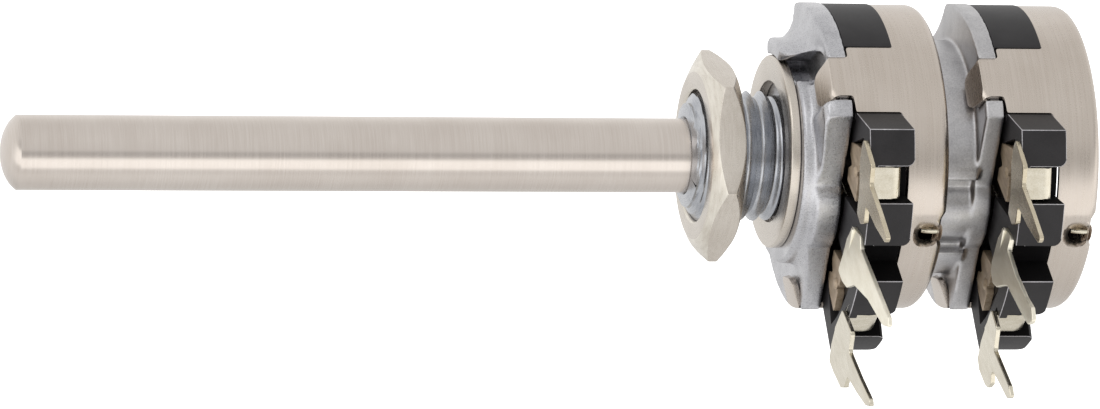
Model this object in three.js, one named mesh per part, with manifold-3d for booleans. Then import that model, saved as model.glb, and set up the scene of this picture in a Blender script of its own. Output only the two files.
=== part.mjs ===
// A two-gang rotary potentiometer with a plain 4 mm shaft and a threaded panel bushing, in millimetres.
// +X runs along the shaft from the knob end to the back, the solder lugs point along -Y and +Z is up.
// The origin is on the shaft axis, in the seat that bears on the panel.
// Outlines across the shaft are drawn in u (towards the lugs) and v (up), and angles start at u.
import * as THREE from 'three';
import { mergeVertices } from 'three/addons/utils/BufferGeometryUtils.js';
import Module from 'manifold-3d';

const wasm = await Module();
wasm.setup();

const degree = Math.PI / 180;
const fullTurn = 360 * degree;
const roundSteps = 40;
const innerSteps = 24;
const threadSteps = 28;
const pinSteps = 10;
const blockSteps = 16;
const cutPast = 1;

// Clearances between pieces.
const runningGap = 0.03;
const seatGap = 0.02;
const fitGap = 0.05;

// Shaft.
const shaftRadius = 2;
const shaftLength = 57.3;
const shaftOverhang = 42.2;
const domeHeight = 0.85;
const grooveDepth = 0.4;
const flatsWidth = 3.3;
const endChamfer = 0.2;
const shaftSwing = 150 * degree;

// Threaded bushing and its nut and washer.
const bushingLength = 5.24;
const threadRadius = 3.5;
const threadPitch = 0.75;
const threadDepth = 0.42;
const threadRuns = 6;
const bushingChamfer = 0.3;
const collarLength = 0.4;
const boreFlare = 0.24;
const threadCountersink = 0.25;
const nutWidth = 10;
const nutThickness = 1.77;
const nutStandOff = 2.92;
const nutChamferRise = 0.34;
const nutFaceRadius = 4.85;
const nutCornerAngle = 12.4 * degree;
const washerOuterRadius = 5.2;
const washerInnerRadius = 3.8;
const washerThickness = 0.53;
const washerShift = 0.25;
const washerShiftAngle = 124 * degree;
const washerEdge = 0.06;

// Cast plate at the front of each gang.
const plateFront = 1.1;
const plateRear = 2.1;
const plateProud = 0.1;
const plateEdge = 0.2;
const bossRadius = 5.8;
const lugSideU = 5.55;
const padU = 6.15;
const padHalfWidth = 1.6;
const scallopRadius = 5.7;
const scallopDepth = 1.09;
const scallopAngle = 145 * degree;
const bossNotchRadius = 4.75;
const bossNotchStart = 76 * degree;
const bossNotchEnd = 97 * degree;
const recessRadius = 4.6;
const recessFloor = 1.25;
const nubRadius = 6.35;
const nubFront = -0.5;
const nubStart = 98 * degree;
const nubEnd = 134 * degree;
const spacerRadius = 6.35;
const spacerThickness = 1.05;
const spigotRadius = 3.6;
const spigotLength = 0.42;
const waistInset = 0.6;

// Gangs.
const gangPitch = 8.28;
const gangNames = ['front', 'rear'];

// Drawn can.
const canRadius = 8.2;
const canWall = 0.3;
const canFront = 2.12;
const canRear = 7.4;
const canCorner = 0.5;
const lugOpeningHalfAngle = 51 * degree;
const lugOpeningRear = 5.2;
const windowStart = 78 * degree;
const windowEnd = 132 * degree;
const windowRear = 4.75;
const tabAngles = [63 * degree, 180 * degree, -61 * degree];
const tabHalfAngle = 8.6 * degree;
const tabReach = 1.6;
const tabTip = 0.62;
const tabBend = 1.2;
const latchFront = 5.7;
const latchBottom = 0.05;
const latchLip = 0.75;
const latchTop = 1.5;
const latchDepth = 0.45;
const latchBack = 6.95;

// Moulded housing with its block of terminal slots.
const housingFront = 2.3;
const housingRear = 4.75;
const housingWall = 0.85;
const windowPadProud = 0.04;
const blockOverStrap = 0.7;
const blockTopAngle = 41.3 * degree;
const blockBottomAngle = -42.6 * degree;
const blockRootAngle = 49.8 * degree;
const frontWeb = 0.45;
const frontLip = 1.1;
const viewSlotRim = 0.6;
const viewSlotStart = 12.4 * degree;
const viewSlotEnd = 37.8 * degree;
const lugSlots = [[19.8 * degree, 31 * degree], [-3.9 * degree, 9.35 * degree],
  [-30 * degree, -17.5 * degree]];
const lugSlotWall = 0.45;
const pocketEndGap = 1 * degree;
const boardGap = 0.1;
const stopHalfAngle = 14.5 * degree;
const stopOverDisc = 0.25;
const stopRear = 5.15;

// Element board, track and collector.
const boardThickness = 0.6;
const tongueProud = 0.2;
const tongueHalfAngle = 42 * degree;
const trackMargin = 1;
const trackWidth = 1;
const trackHalfAngle = 155 * degree;
const filmThickness = 0.1;
const collectorInnerRadius = 3.1;
const collectorOuterRadius = 3.9;
const boardHoleRadius = 2.9;

// Solder lugs: each blade's outline, with u counted from the outer straps, then its strap and foot.
const firstLugOutline = [[-1.6, 6.5], [0.5, 6.2], [0.8, 5.15], [3.1, 5.05], [5.1, 4.85], [4.9, 4.4],
  [2.8, 4], [0.7, 3.85], [1, 2.9], [0.2, 2.4], [-0.7, 2.5], [-0.8, 3.4], [-1, 4.1], [-1.6, 5], [-1.7, 5.9]];
const lugOutlines = {
  front: [
    firstLugOutline,
    [[-1.5, 1.2], [0, 1.6], [0.6, 1.1], [3.7, 1.2], [7.1, 1.3], [7.55, 1], [6.7, 0.5], [3.6, 0],
      [1.1, -0.8], [0.2, -1.6], [-0.7, -1.8], [-1.7, -1.8], [-1.7, -0.7], [-1.8, 0.2]],
    [[-0.4, -3.4], [1.9, -3.3], [2, -4.45], [4.6, -4.3], [6.9, -4.05], [7.2, -4.3], [6.4, -4.8],
      [4.5, -5.3], [2.5, -5.7], [2.4, -6.5], [1.7, -7], [0, -7.2], [-1.1, -7.2], [-1.2, -6.2], [-1, -4.9]]
  ],
  rear: [
    firstLugOutline,
    [[-1.4, 1.24], [-0.1, 1.5], [-0.05, 0.7], [2, 0.5], [4.2, 0.58], [5.4, 0.75], [6.2, 0.4], [5.7, -0.14],
      [4.8, -0.3], [1.5, -0.6], [0.8, -1.05], [0.1, -1.64], [-0.6, -1.85], [-1.3, -1.6], [-1.6, -1.15],
      [-1.76, 0.3]],
    [[-0.6, -3.5], [0.85, -3.7], [1.1, -5], [4.5, -4.9], [5.2, -5.2], [4.6, -5.65], [1.8, -6],
      [1.4, -6.2], [1.65, -6.85], [1.25, -7.35], [0.65, -7.55], [-0.7, -7.55], [-1.3, -7.2], [-1.25, -6],
      [-0.9, -4.7]]
  ]
};
const lugThickness = 0.28;
const strapOverSlot = 1.05;
const strapHalfWidth = 0.85;
const strapAngles = [25.4 * degree, 2.7 * degree, -24.2 * degree];
const strapRear = 4.2;
const footBehindRivet = 0.6;
const footHalfAngle = 7 * degree;
const middleStrapInset = 1.25;
const leadEnd = 2.8;
const rivetAngles = [27.5 * degree, 2.7 * degree, -28.5 * degree];
const outerRivetInset = 0.7;
const middleRivetRadius = 3.5;
const rivetRadius = 0.28;
const rivetHeadRadius = 0.42;
const rivetHeadHeight = 0.14;
const clipThickness = 0.25;
const clipHalfLength = 1.3;
const clipHalfWidth = 0.45;
const clipNotch = 0.16;
const clipCorner = 0.3;
const clipWaist = 0.2;
const clipTurns = [11 * degree, 0, -5 * degree];

// Rotor and wiper.
const rotorDiscProud = 0.2;
const rotorDiscFront = 4.6;
const rotorDiscRear = 5.25;
const rotorHubRadius = 2.8;
const rotorHubFront = 3.7;
const rotorHubRear = 6;
const rotorArmGap = 0.15;
const rotorArmFront = 4.85;
const rotorArmRear = 5.15;
const wiperPlate = 0.2;
const fingerHalfWidth = 0.3;
const ringThickness = 0.45;
const ringOuterRadius = 3;
const ringMouth = 40 * degree;
const armSideGap = 0.3 * degree;

// Values that follow from the sizes above.
const shaftTip = -shaftOverhang;
const shaftEnd = shaftTip + shaftLength;
const boreRadius = shaftRadius + runningGap;
const canInnerRadius = canRadius - canWall;
const canHoleRadius = spigotRadius + fitGap;
const plateRadius = canRadius + plateProud;
const tabInnerRadius = canRadius - tabReach;
const housingOuterRadius = canInnerRadius - fitGap;
const housingInnerRadius = housingOuterRadius - housingWall;
const windowPadRadius = canRadius + windowPadProud;
const boardRadius = housingInnerRadius - boardGap;
const tongueRadius = canRadius + tongueProud;
const pocketRadius = tongueRadius + boardGap;
const pocketHalfAngle = tongueHalfAngle + pocketEndGap;
const lugSlotFloor = pocketRadius + lugSlotWall;
const strapRadius = lugSlotFloor + strapOverSlot;
const middleStrapRadius = strapRadius - middleStrapInset;
const blockRadius = strapRadius + blockOverStrap;
const frontHoleRadius = housingInnerRadius - frontLip;
const viewSlotOuterRadius = strapRadius - viewSlotRim;
const outerRivetRadius = tongueRadius - outerRivetInset;
const footInnerRadius = outerRivetRadius - footBehindRivet;
const trackOuterRadius = boardRadius - trackMargin;
const trackInnerRadius = trackOuterRadius - trackWidth;
const rotorDiscRadius = trackOuterRadius + rotorDiscProud;
const rotorArmRadius = housingInnerRadius - rotorArmGap;
const stopInnerRadius = rotorDiscRadius + stopOverDisc;
const tabSlope = (tabBend - tabTip) / (canRadius - tabInnerRadius);
const tabDepth = canWall * Math.hypot(1, tabSlope);
const tabRearAtWall = tabBend + tabDepth - tabSlope * canWall;
const boardFront = housingFront + frontWeb + seatGap;
const boardRear = boardFront + boardThickness;
const filmRear = boardRear + seatGap + filmThickness;
const footFront = filmRear + seatGap;
const footRear = footFront + lugThickness;
const pocketRear = footRear + rivetHeadHeight + fitGap;
const nubInnerRadius = washerOuterRadius + washerShift + fitGap;
const lugRear = housingFront - seatGap;
const lugFront = lugRear - lugThickness;
const grooveRadius = shaftRadius - grooveDepth;
const ringInnerRadius = grooveRadius + runningGap;
const frontRingX = recessFloor + seatGap;
const hubBack = rotorHubRear + seatGap;
const wiperRear = rotorDiscFront - seatGap;
const wiperFront = wiperRear - wiperPlate;
const trackMiddle = (trackInnerRadius + trackOuterRadius) / 2;
const spacerRear = canRear - gangPitch + seatGap + spacerThickness;

const finishes = {
  nickel: new THREE.MeshStandardMaterial({ color: 0xbfb4a6, roughness: 0.34, metalness: 1 }),
  shaftNickel: new THREE.MeshStandardMaterial({ color: 0xb9b0a8, roughness: 0.3, metalness: 1 }),
  zinc: new THREE.MeshStandardMaterial({ color: 0xa6a9ad, roughness: 0.52, metalness: 1 }),
  moulding: new THREE.MeshStandardMaterial({ color: 0x37343a, roughness: 0.6, metalness: 0 }),
  tin: new THREE.MeshStandardMaterial({ color: 0xcdc8b6, roughness: 0.36, metalness: 1 }),
  board: new THREE.MeshStandardMaterial({ color: 0x3a2c22, roughness: 0.7, metalness: 0 }),
  carbon: new THREE.MeshStandardMaterial({ color: 0x17171a, roughness: 0.8, metalness: 0 }),
  silver: new THREE.MeshStandardMaterial({ color: 0xd7d5cf, roughness: 0.3, metalness: 1 }),
  spring: new THREE.MeshStandardMaterial({ color: 0xc69a54, roughness: 0.35, metalness: 1 }),
  steel: new THREE.MeshStandardMaterial({ color: 0x8f8d88, roughness: 0.4, metalness: 1 })
};

// A closed geometry as a solid that can be cut and joined.
function solid(geometry) {
  const bare = geometry.clone();
  bare.deleteAttribute('normal');
  bare.deleteAttribute('uv');
  const merged = mergeVertices(bare, 1e-5);
  const corners = merged.index.array;
  const kept = [];
  for (let i = 0; i < corners.length; i += 3) {
    const [a, b, c] = [corners[i], corners[i + 1], corners[i + 2]];
    if (a !== b && b !== c && c !== a) kept.push(a, b, c);
  }
  return new wasm.Manifold(new wasm.Mesh({
    numProp: 3,
    vertProperties: Float32Array.from(merged.attributes.position.array),
    triVerts: Uint32Array.from(kept)
  }));
}

function geometryOf(body) {
  const mesh = body.getMesh();
  const geometry = new THREE.BufferGeometry();
  geometry.setAttribute('position', new THREE.BufferAttribute(mesh.vertProperties, 3));
  geometry.setIndex(new THREE.BufferAttribute(mesh.triVerts, 1));
  geometry.computeVertexNormals();
  return geometry;
}

// An outline in u and v, carried along the shaft from one x to another.
function slab(shape, fromX, toX, arcSteps = roundSteps) {
  const curveSegments = Math.ceil(arcSteps / 2);
  const options = { depth: toX - fromX, bevelEnabled: false, curveSegments };
  const geometry = new THREE.ExtrudeGeometry(shape, options);
  const across = new THREE.Matrix4().makeBasis(
    new THREE.Vector3(0, -1, 0), new THREE.Vector3(0, 0, 1), new THREE.Vector3(-1, 0, 0));
  across.setPosition(toX, 0, 0);
  return solid(geometry.applyMatrix4(across));
}

// A profile of [x, radius] points turned round the shaft axis; it ends on the axis or is closed here.
function turned(profile, steps = roundSteps) {
  const points = profile.map(([x, radius]) => new THREE.Vector2(radius, x));
  const onAxis = profile[0][1] === 0 && profile[profile.length - 1][1] === 0;
  if (!onAxis) points.push(points[0].clone());
  const geometry = new THREE.LatheGeometry(points, steps);
  return solid(geometry.rotateZ(-90 * degree));
}

function ring(innerRadius, outerRadius, fromX, toX, steps = roundSteps) {
  return turned([[fromX, innerRadius], [fromX, outerRadius], [toX, outerRadius], [toX, innerRadius]],
    steps);
}

function disc(radius, fromX, toX, steps = roundSteps) {
  return turned([[fromX, 0], [fromX, radius], [toX, radius], [toX, 0]], steps);
}

function polygon(points) {
  return new THREE.Shape(points.map(([u, v]) => new THREE.Vector2(u, v)));
}

function sectorShape(innerRadius, outerRadius, fromAngle, toAngle) {
  const shape = new THREE.Shape();
  shape.absarc(0, 0, outerRadius, fromAngle, toAngle, false);
  shape.absarc(0, 0, innerRadius, toAngle, fromAngle, true);
  shape.closePath();
  return shape;
}

function sector(innerRadius, outerRadius, fromAngle, toAngle, fromX, toX) {
  const steps = Math.max(3, Math.ceil(roundSteps * (toAngle - fromAngle) / fullTurn));
  return slab(sectorShape(innerRadius, outerRadius, fromAngle, toAngle), fromX, toX, steps);
}

// A bar across the shaft, from one radius to another along a direction, of a given half width.
function bar(angle, fromRadius, toRadius, halfWidth, fromX, toX) {
  const along = [Math.cos(angle), Math.sin(angle)];
  const corners = [[fromRadius, -halfWidth], [toRadius, -halfWidth], [toRadius, halfWidth],
    [fromRadius, halfWidth]];
  return slab(polygon(corners.map(([r, t]) => [r * along[0] - t * along[1], r * along[1] + t * along[0]])),
    fromX, toX);
}

// A round pin along the shaft direction, at a polar place.
function pin(angle, distance, radius, fromX, toX, steps = pinSteps) {
  const shape = new THREE.Shape();
  shape.absarc(distance * Math.cos(angle), distance * Math.sin(angle), radius, 0, fullTurn, false);
  return slab(shape, fromX, toX, steps);
}

// A side view in x and r, carried across a strip of a given half width that lies along a direction.
function strip(points, angle, halfWidth) {
  const shape = new THREE.Shape(points.map(([x, r]) => new THREE.Vector2(x, r)));
  const geometry = new THREE.ExtrudeGeometry(shape, { depth: 2 * halfWidth, bevelEnabled: false });
  const along = new THREE.Vector3(0, -Math.cos(angle), Math.sin(angle));
  const lengthwise = new THREE.Vector3(1, 0, 0);
  const across = new THREE.Vector3().crossVectors(lengthwise, along);
  const place = new THREE.Matrix4().makeBasis(lengthwise, along, across);
  place.setPosition(across.multiplyScalar(-halfWidth));
  return solid(geometry.applyMatrix4(place));
}

function cut(body, ...tools) {
  return tools.reduce((left, tool) => left.subtract(tool), body);
}

function join(body, ...others) {
  return others.reduce((whole, other) => whole.add(other), body);
}

const assembly = new THREE.Group();

function addPiece(name, body, finish, x = 0, parent = assembly) {
  const mesh = new THREE.Mesh(geometryOf(body), finish);
  mesh.name = name;
  mesh.position.x = x;
  parent.add(mesh);
  return mesh;
}

function makeShaft() {
  const domeSteps = 5;
  const profile = [[shaftTip, 0]];
  for (let i = 1; i <= domeSteps; i += 1) {
    const angle = (90 * degree * i) / domeSteps;
    profile.push([shaftTip + domeHeight * (1 - Math.cos(angle)), shaftRadius * Math.sin(angle)]);
  }
  const grooves = [frontRingX, gangPitch + hubBack];
  for (const start of grooves) {
    profile.push([start - seatGap, shaftRadius], [start - seatGap, grooveRadius]);
    profile.push([start + ringThickness + seatGap, grooveRadius]);
    profile.push([start + ringThickness + seatGap, shaftRadius]);
  }
  profile.push([shaftEnd - endChamfer, shaftRadius], [shaftEnd, shaftRadius - endChamfer], [shaftEnd, 0]);
  let body = turned(profile);
  for (let gang = 0; gang < gangNames.length; gang += 1) {
    const from = gang * gangPitch + rotorHubFront - fitGap;
    const to = gang * gangPitch + rotorHubRear + seatGap / 2;
    for (const side of [0, 180 * degree]) {
      body = cut(body, bar(side, flatsWidth / 2, shaftRadius + cutPast, shaftRadius, from, to));
    }
  }
  return body;
}

// A snap ring with an open mouth; x is its front face.
function makeSnapRing(x) {
  const whole = ring(ringInnerRadius, ringOuterRadius, x, x + ringThickness, innerSteps);
  const mouth = sector(grooveDepth, ringOuterRadius + cutPast, 90 * degree - ringMouth,
    90 * degree + ringMouth, x - cutPast, x + ringThickness + cutPast);
  return cut(whole, mouth);
}

// The flange of a cast plate: a disc with a flat lug side, a middle pad and two scallops at the back.
function flange() {
  const rim = turned([[plateFront, 0], [plateFront, plateRadius - plateEdge],
    [plateFront + plateEdge, plateRadius], [plateRear, plateRadius], [plateRear, 0]]);
  const lugSide = polygon([[lugSideU, -plateRadius], [plateRadius + cutPast, -plateRadius],
    [plateRadius + cutPast, plateRadius], [lugSideU, plateRadius], [lugSideU, padHalfWidth + padU - lugSideU],
    [padU, padHalfWidth], [padU, -padHalfWidth], [lugSideU, -padHalfWidth - padU + lugSideU]]);
  const scallopDistance = plateRadius - scallopDepth + scallopRadius;
  const scallops = [scallopAngle, -scallopAngle].map(angle => pin(angle, scallopDistance, scallopRadius,
    plateFront - cutPast, plateRear + cutPast, roundSteps));
  return cut(rim, slab(lugSide, plateFront - cutPast, plateRear + cutPast), ...scallops, ...tabSlots());
}

// Slots in the plate's rim for the can's tabs, with a sloping pocket under each folded end.
function tabSlots() {
  const clear = fitGap / plateRadius;
  const front = tabTip - cutPast;
  const rear = plateRear + cutPast;
  const outside = plateRadius + cutPast;
  const pocket = turned([[front, tabInnerRadius - fitGap], [front, outside], [rear, outside],
    [rear, canInnerRadius - fitGap], [tabRearAtWall + fitGap, canInnerRadius - fitGap],
    [tabTip + tabDepth + fitGap, tabInnerRadius - fitGap]]);
  return tabAngles.map(angle => pocket.intersect(sector(recessRadius, outside + cutPast,
    angle - tabHalfAngle - clear, angle + tabHalfAngle + clear, front - cutPast, rear + cutPast)));
}

function plateHollows(fromX) {
  return [disc(boreRadius, fromX - cutPast, plateRear + cutPast),
    disc(recessRadius, recessFloor, plateRear + cutPast)];
}

function makeFrontPlate() {
  const seatFlat = bar(0, lugSideU, plateRadius, plateRadius, -cutPast, plateFront);
  const notch = sector(bossNotchRadius, bossRadius + cutPast, bossNotchStart, bossNotchEnd, -cutPast,
    plateFront);
  const boss = cut(disc(bossRadius, 0, plateFront + seatGap), seatFlat, notch);
  const nub = sector(nubInnerRadius, nubRadius, nubStart, nubEnd, nubFront, plateFront + seatGap);
  const body = join(flange(), boss, nub, threadedBushing());
  const flare = turned([[-bushingLength - seatGap, 0], [-bushingLength - seatGap, boreRadius + boreFlare],
    [-bushingLength + boreFlare, boreRadius], [-bushingLength + boreFlare, 0]]);
  return cut(body, ...plateHollows(-bushingLength), flare);
}

// The bushing, with one V groove for each turn of its thread, then a neck and a full collar.
function threadedBushing() {
  const rootRadius = threadRadius - threadDepth;
  const crest = threadPitch / 8;
  const profile = [[-bushingLength, 0], [-bushingLength, threadRadius - bushingChamfer],
    [-bushingLength + bushingChamfer, threadRadius]];
  let x = -bushingLength + bushingChamfer + crest;
  for (let i = 0; i < threadRuns - 1; i += 1) {
    profile.push([x, threadRadius], [x + (threadPitch - crest) / 2, rootRadius]);
    x += threadPitch;
    profile.push([x - crest, threadRadius]);
  }
  profile.push([x, threadRadius], [x + threadDepth / 2, rootRadius], [-collarLength, rootRadius],
    [-collarLength, threadRadius], [plateFront, threadRadius], [plateFront, 0]);
  return turned(profile, threadSteps);
}

function makeRearPlate() {
  const front = canRear - gangPitch + seatGap;
  const lugSideCut = bar(0, lugSideU, plateRadius, plateRadius, front - cutPast, spacerRear + cutPast);
  const spacer = cut(disc(spacerRadius, front, spacerRear), lugSideCut);
  const waist = disc(bossRadius - waistInset, spacerRear - seatGap, plateFront + seatGap);
  const spigot = disc(spigotRadius, front - spigotLength, front + seatGap);
  const pad = bar(0, 0, padU, padHalfWidth, front, plateFront + seatGap);
  const body = join(flange(), spacer, waist, spigot, pad);
  return cut(body, ...plateHollows(front - spigotLength));
}

function makeNut() {
  const cornerRadius = nutWidth / 2 / Math.cos(30 * degree);
  const corners = [];
  for (let i = 0; i < 6; i += 1) {
    const angle = nutCornerAngle + i * 60 * degree;
    corners.push([cornerRadius * Math.cos(angle), cornerRadius * Math.sin(angle)]);
  }
  const rear = -nutStandOff;
  const front = rear - nutThickness;
  const prism = slab(polygon(corners), front, rear);
  const rise = nutChamferRise * (cornerRadius + seatGap - nutFaceRadius) / (cornerRadius - nutFaceRadius);
  const barrel = turned([[front, 0], [front, nutFaceRadius], [front + rise, cornerRadius + seatGap],
    [rear - rise, cornerRadius + seatGap], [rear, nutFaceRadius], [rear, 0]]);
  const boreWall = threadRadius + runningGap;
  const bore = turned([[front - seatGap, 0], [front - seatGap, boreWall + threadCountersink + seatGap],
    [front + threadCountersink, boreWall], [rear - threadCountersink, boreWall],
    [rear + seatGap, boreWall + threadCountersink + seatGap], [rear + seatGap, 0]], threadSteps);
  return cut(prism.intersect(barrel), bore);
}

function makeWasher() {
  const rear = -seatGap;
  const front = rear - washerThickness;
  return turned([[front, washerInnerRadius], [front, washerOuterRadius - washerEdge],
    [front + washerEdge, washerOuterRadius], [rear, washerOuterRadius], [rear, washerInnerRadius]]);
}

function makeCan() {
  const cornerSteps = 3;
  const profile = [[canFront, canInnerRadius], [canFront, canRadius]];
  for (let i = 0; i <= cornerSteps; i += 1) {
    const angle = (90 * degree * i) / cornerSteps;
    profile.push([canRear - canCorner + canCorner * Math.sin(angle),
      canRadius - canCorner + canCorner * Math.cos(angle)]);
  }
  const innerCorner = canCorner - canWall / 2;
  profile.push([canRear, canHoleRadius], [canRear - canWall, canHoleRadius],
    [canRear - canWall, canInnerRadius - innerCorner], [canRear - canWall - innerCorner, canInnerRadius]);
  const opening = sector(canInnerRadius - cutPast, canRadius + cutPast, -lugOpeningHalfAngle,
    lugOpeningHalfAngle, canFront - cutPast, lugOpeningRear);
  const windows = [1, -1].map(side => {
    const ends = [side * windowStart, side * windowEnd].sort((a, b) => a - b);
    return sector(canInnerRadius - cutPast, canRadius + cutPast, ends[0], ends[1],
      canFront - cutPast, windowRear);
  });
  const body = cut(turned(profile), opening, ...windows, latchOpening());
  return join(body, ...canTabs(), latchTongue());
}

// The tabs: strips of the can's wall that run forward through the plate's rim and fold in over it.
function canTabs() {
  const root = canFront + seatGap;
  const band = turned([[tabTip, tabInnerRadius], [tabBend, canRadius], [root, canRadius],
    [root, canInnerRadius], [tabRearAtWall, canInnerRadius], [tabTip + tabDepth, tabInnerRadius]]);
  return tabAngles.map(angle => band.intersect(sector(recessRadius, canRadius + cutPast,
    angle - tabHalfAngle, angle + tabHalfAngle, tabTip - cutPast, root + cutPast)));
}

// The latch near the back of the can: an opening whose upper side is pressed in as a lip.
function latchOpening() {
  return slab(polygon([[canInnerRadius - latchDepth, latchBottom], [canRadius + cutPast, latchBottom],
    [canRadius + cutPast, latchTop], [canInnerRadius - latchDepth, latchTop]]), latchFront, latchBack);
}

function latchTongue() {
  const rim = latchTop + canWall;
  const lip = polygon([[canInnerRadius - latchDepth, latchLip], [canRadius - latchDepth, latchLip],
    [canRadius, rim], [canInnerRadius, rim]]);
  const clip = disc(canRadius, latchFront - cutPast, latchBack + cutPast);
  return slab(lip, latchFront + fitGap, latchBack - fitGap).intersect(clip);
}

// Outline of the terminal block: two slanted sides and a round outer face.
function blockShape() {
  const shape = new THREE.Shape();
  const root = [canRadius * Math.cos(blockRootAngle), canRadius * Math.sin(blockRootAngle)];
  shape.moveTo(root[0], -root[1]);
  shape.absarc(0, 0, blockRadius, blockBottomAngle, blockTopAngle, false);
  shape.lineTo(...root);
  shape.closePath();
  return shape;
}

function makeHousing() {
  const block = slab(blockShape(), housingFront, housingRear, blockSteps);
  const wall = ring(housingInnerRadius, housingOuterRadius, housingFront, housingRear);
  const pads = [1, -1].map(side => {
    const clear = fitGap / canRadius;
    const ends = [side * (windowStart + clear), side * (windowEnd - clear)].sort((a, b) => a - b);
    return sector(housingInnerRadius, windowPadRadius, ends[0], ends[1], canFront,
      windowRear - fitGap);
  });
  const stop = sector(stopInnerRadius, housingInnerRadius + fitGap, -stopHalfAngle, stopHalfAngle,
    pocketRear, stopRear);
  const pocket = sector(housingInnerRadius - cutPast, pocketRadius, -pocketHalfAngle, pocketHalfAngle,
    boardFront - seatGap, pocketRear);
  const inside = disc(housingInnerRadius, boardFront - seatGap, housingRear + cutPast);
  const frontHole = disc(frontHoleRadius, housingFront - cutPast, housingRear, innerSteps);
  const viewSlots = [1, -1].map(side => {
    const ends = [side * viewSlotStart, side * viewSlotEnd].sort((a, b) => a - b);
    return sector(frontHoleRadius - fitGap, viewSlotOuterRadius, ends[0], ends[1],
      housingFront - cutPast, housingFront + frontWeb);
  });
  const slots = lugSlots.map(([from, to]) => sector(lugSlotFloor, blockRadius + cutPast, from, to,
    housingFront + frontWeb, housingRear + cutPast));
  const body = cut(join(wall, block, ...pads), inside, frontHole, pocket, ...viewSlots, ...slots,
    ...lugChannels());
  return join(body, stop);
}

// Room in the housing for the straps and feet of the three lugs.
function lugChannels() {
  const halfWidth = strapHalfWidth + fitGap;
  const outer = [0, 2].flatMap(i => [
    bar(strapAngles[i], strapRadius - fitGap, blockRadius + cutPast, halfWidth,
      housingFront - cutPast, housingFront + frontWeb + seatGap),
    bar(strapAngles[i], tongueRadius, lugSlotFloor + fitGap, halfWidth, footFront - seatGap / 2,
      pocketRear)]);
  const middle = [
    bar(strapAngles[1], middleStrapRadius - fitGap, blockRadius + cutPast, halfWidth,
      housingFront - cutPast, boardFront),
    bar(strapAngles[1], middleRivetRadius, middleStrapRadius, halfWidth,
      boardFront - clipThickness - 2 * seatGap, boardFront)];
  return [...outer, ...middle];
}

function rivetDistance(i) {
  return i === 1 ? middleRivetRadius : outerRivetRadius;
}

function rivetHole(i) {
  return pin(rivetAngles[i], rivetDistance(i), rivetRadius + seatGap, -cutPast, housingRear);
}

// The board: a round with a tongue under the terminal block.
function makeBoard() {
  const tongue = sector(boardHoleRadius + cutPast, tongueRadius, -tongueHalfAngle, tongueHalfAngle,
    boardFront, boardRear);
  const centre = disc(boardHoleRadius, boardFront - cutPast, boardRear + cutPast, innerSteps);
  const round = disc(boardRadius, boardFront, boardRear, innerSteps);
  return cut(join(round, tongue), centre, ...strapAngles.map((angle, i) => rivetHole(i)));
}

// The track is an open ring opposite the lugs, with a pad under each outer lug's foot.
function makeTrack() {
  const from = boardRear + seatGap;
  const to = from + filmThickness;
  const band = sector(trackInnerRadius, trackOuterRadius, 180 * degree - trackHalfAngle,
    180 * degree + trackHalfAngle, from, to);
  const ends = [0, 2].map(i => bar(rivetAngles[i], trackMiddle, tongueRadius - fitGap, strapHalfWidth,
    from, to));
  return cut(join(band, ...ends), rivetHole(0), rivetHole(2));
}

function makeCollector() {
  const from = boardRear + seatGap;
  const band = ring(collectorInnerRadius, collectorOuterRadius, from, from + filmThickness, innerSteps);
  return cut(band, rivetHole(1));
}

function lugBlade(outline) {
  return slab(polygon(outline.map(([u, v]) => [strapRadius + u, v])), lugFront, lugRear);
}

// An outer lug: its blade, the strap that runs back beside the blocks and the foot on the board.
function makeOuterLug(outlines, i) {
  const blade = lugBlade(outlines[i]);
  const strapOuter = strapRadius + lugThickness;
  const footStart = lugSlotFloor;
  const side = [[lugFront, strapRadius], [lugFront, strapOuter], [strapRear, strapOuter],
    [footRear, footStart], [footRear, footInnerRadius], [footFront, footInnerRadius],
    [footFront, footStart + lugThickness], [strapRear - lugThickness, strapRadius]];
  const plate = sector(footInnerRadius, tongueRadius, rivetAngles[i] - footHalfAngle,
    rivetAngles[i] + footHalfAngle, footFront, footRear);
  return cut(join(blade, strip(side, strapAngles[i], strapHalfWidth), plate), rivetHole(i));
}

function makeMiddleLug(outlines) {
  const blade = lugBlade(outlines[1]);
  const leadRear = boardFront - seatGap;
  const strapOuter = middleStrapRadius + lugThickness;
  const strap = bar(strapAngles[1], middleStrapRadius, strapOuter, strapHalfWidth, lugFront, leadRear);
  const lead = bar(strapAngles[1], leadEnd, strapOuter, strapHalfWidth, leadRear - clipThickness, leadRear);
  return cut(join(blade, strap, lead), rivetHole(1));
}

// A clip on the front of the board that the outer lug's rivet holds: two ears beside a neck.
function makeClip(i) {
  const rear = boardFront - seatGap;
  const centre = [Math.cos(rivetAngles[i]), Math.sin(rivetAngles[i])].map(part => part * outerRivetRadius);
  const along = [Math.cos(clipTurns[i]), Math.sin(clipTurns[i])];
  const ear = [[-clipHalfWidth, clipCorner - clipHalfLength], [clipHalfWidth, -clipHalfLength],
    [clipHalfWidth, -clipNotch], [clipHalfWidth - clipWaist, 0], [clipHalfWidth, clipNotch],
    [clipHalfWidth, clipHalfLength], [-clipHalfWidth, clipHalfLength - clipCorner]];
  const corners = ear.map(([r, t]) => [centre[0] + r * along[0] - t * along[1],
    centre[1] + r * along[1] + t * along[0]]);
  return cut(slab(polygon(corners), rear - clipThickness, rear), rivetHole(i));
}

// A rivet through clip or lead, board and foot, with a head at each end.
function makeRivet(i) {
  const frontFace = boardFront - seatGap - clipThickness - seatGap / 2;
  const rearFace = (i === 1 ? filmRear : footRear) + seatGap / 2;
  const place = [rivetAngles[i], rivetDistance(i)];
  return join(pin(...place, rivetRadius, frontFace - seatGap, rearFace + seatGap),
    pin(...place, rivetHeadRadius, frontFace - rivetHeadHeight, frontFace),
    pin(...place, rivetHeadRadius, rearFace, rearFace + rivetHeadHeight));
}

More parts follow.
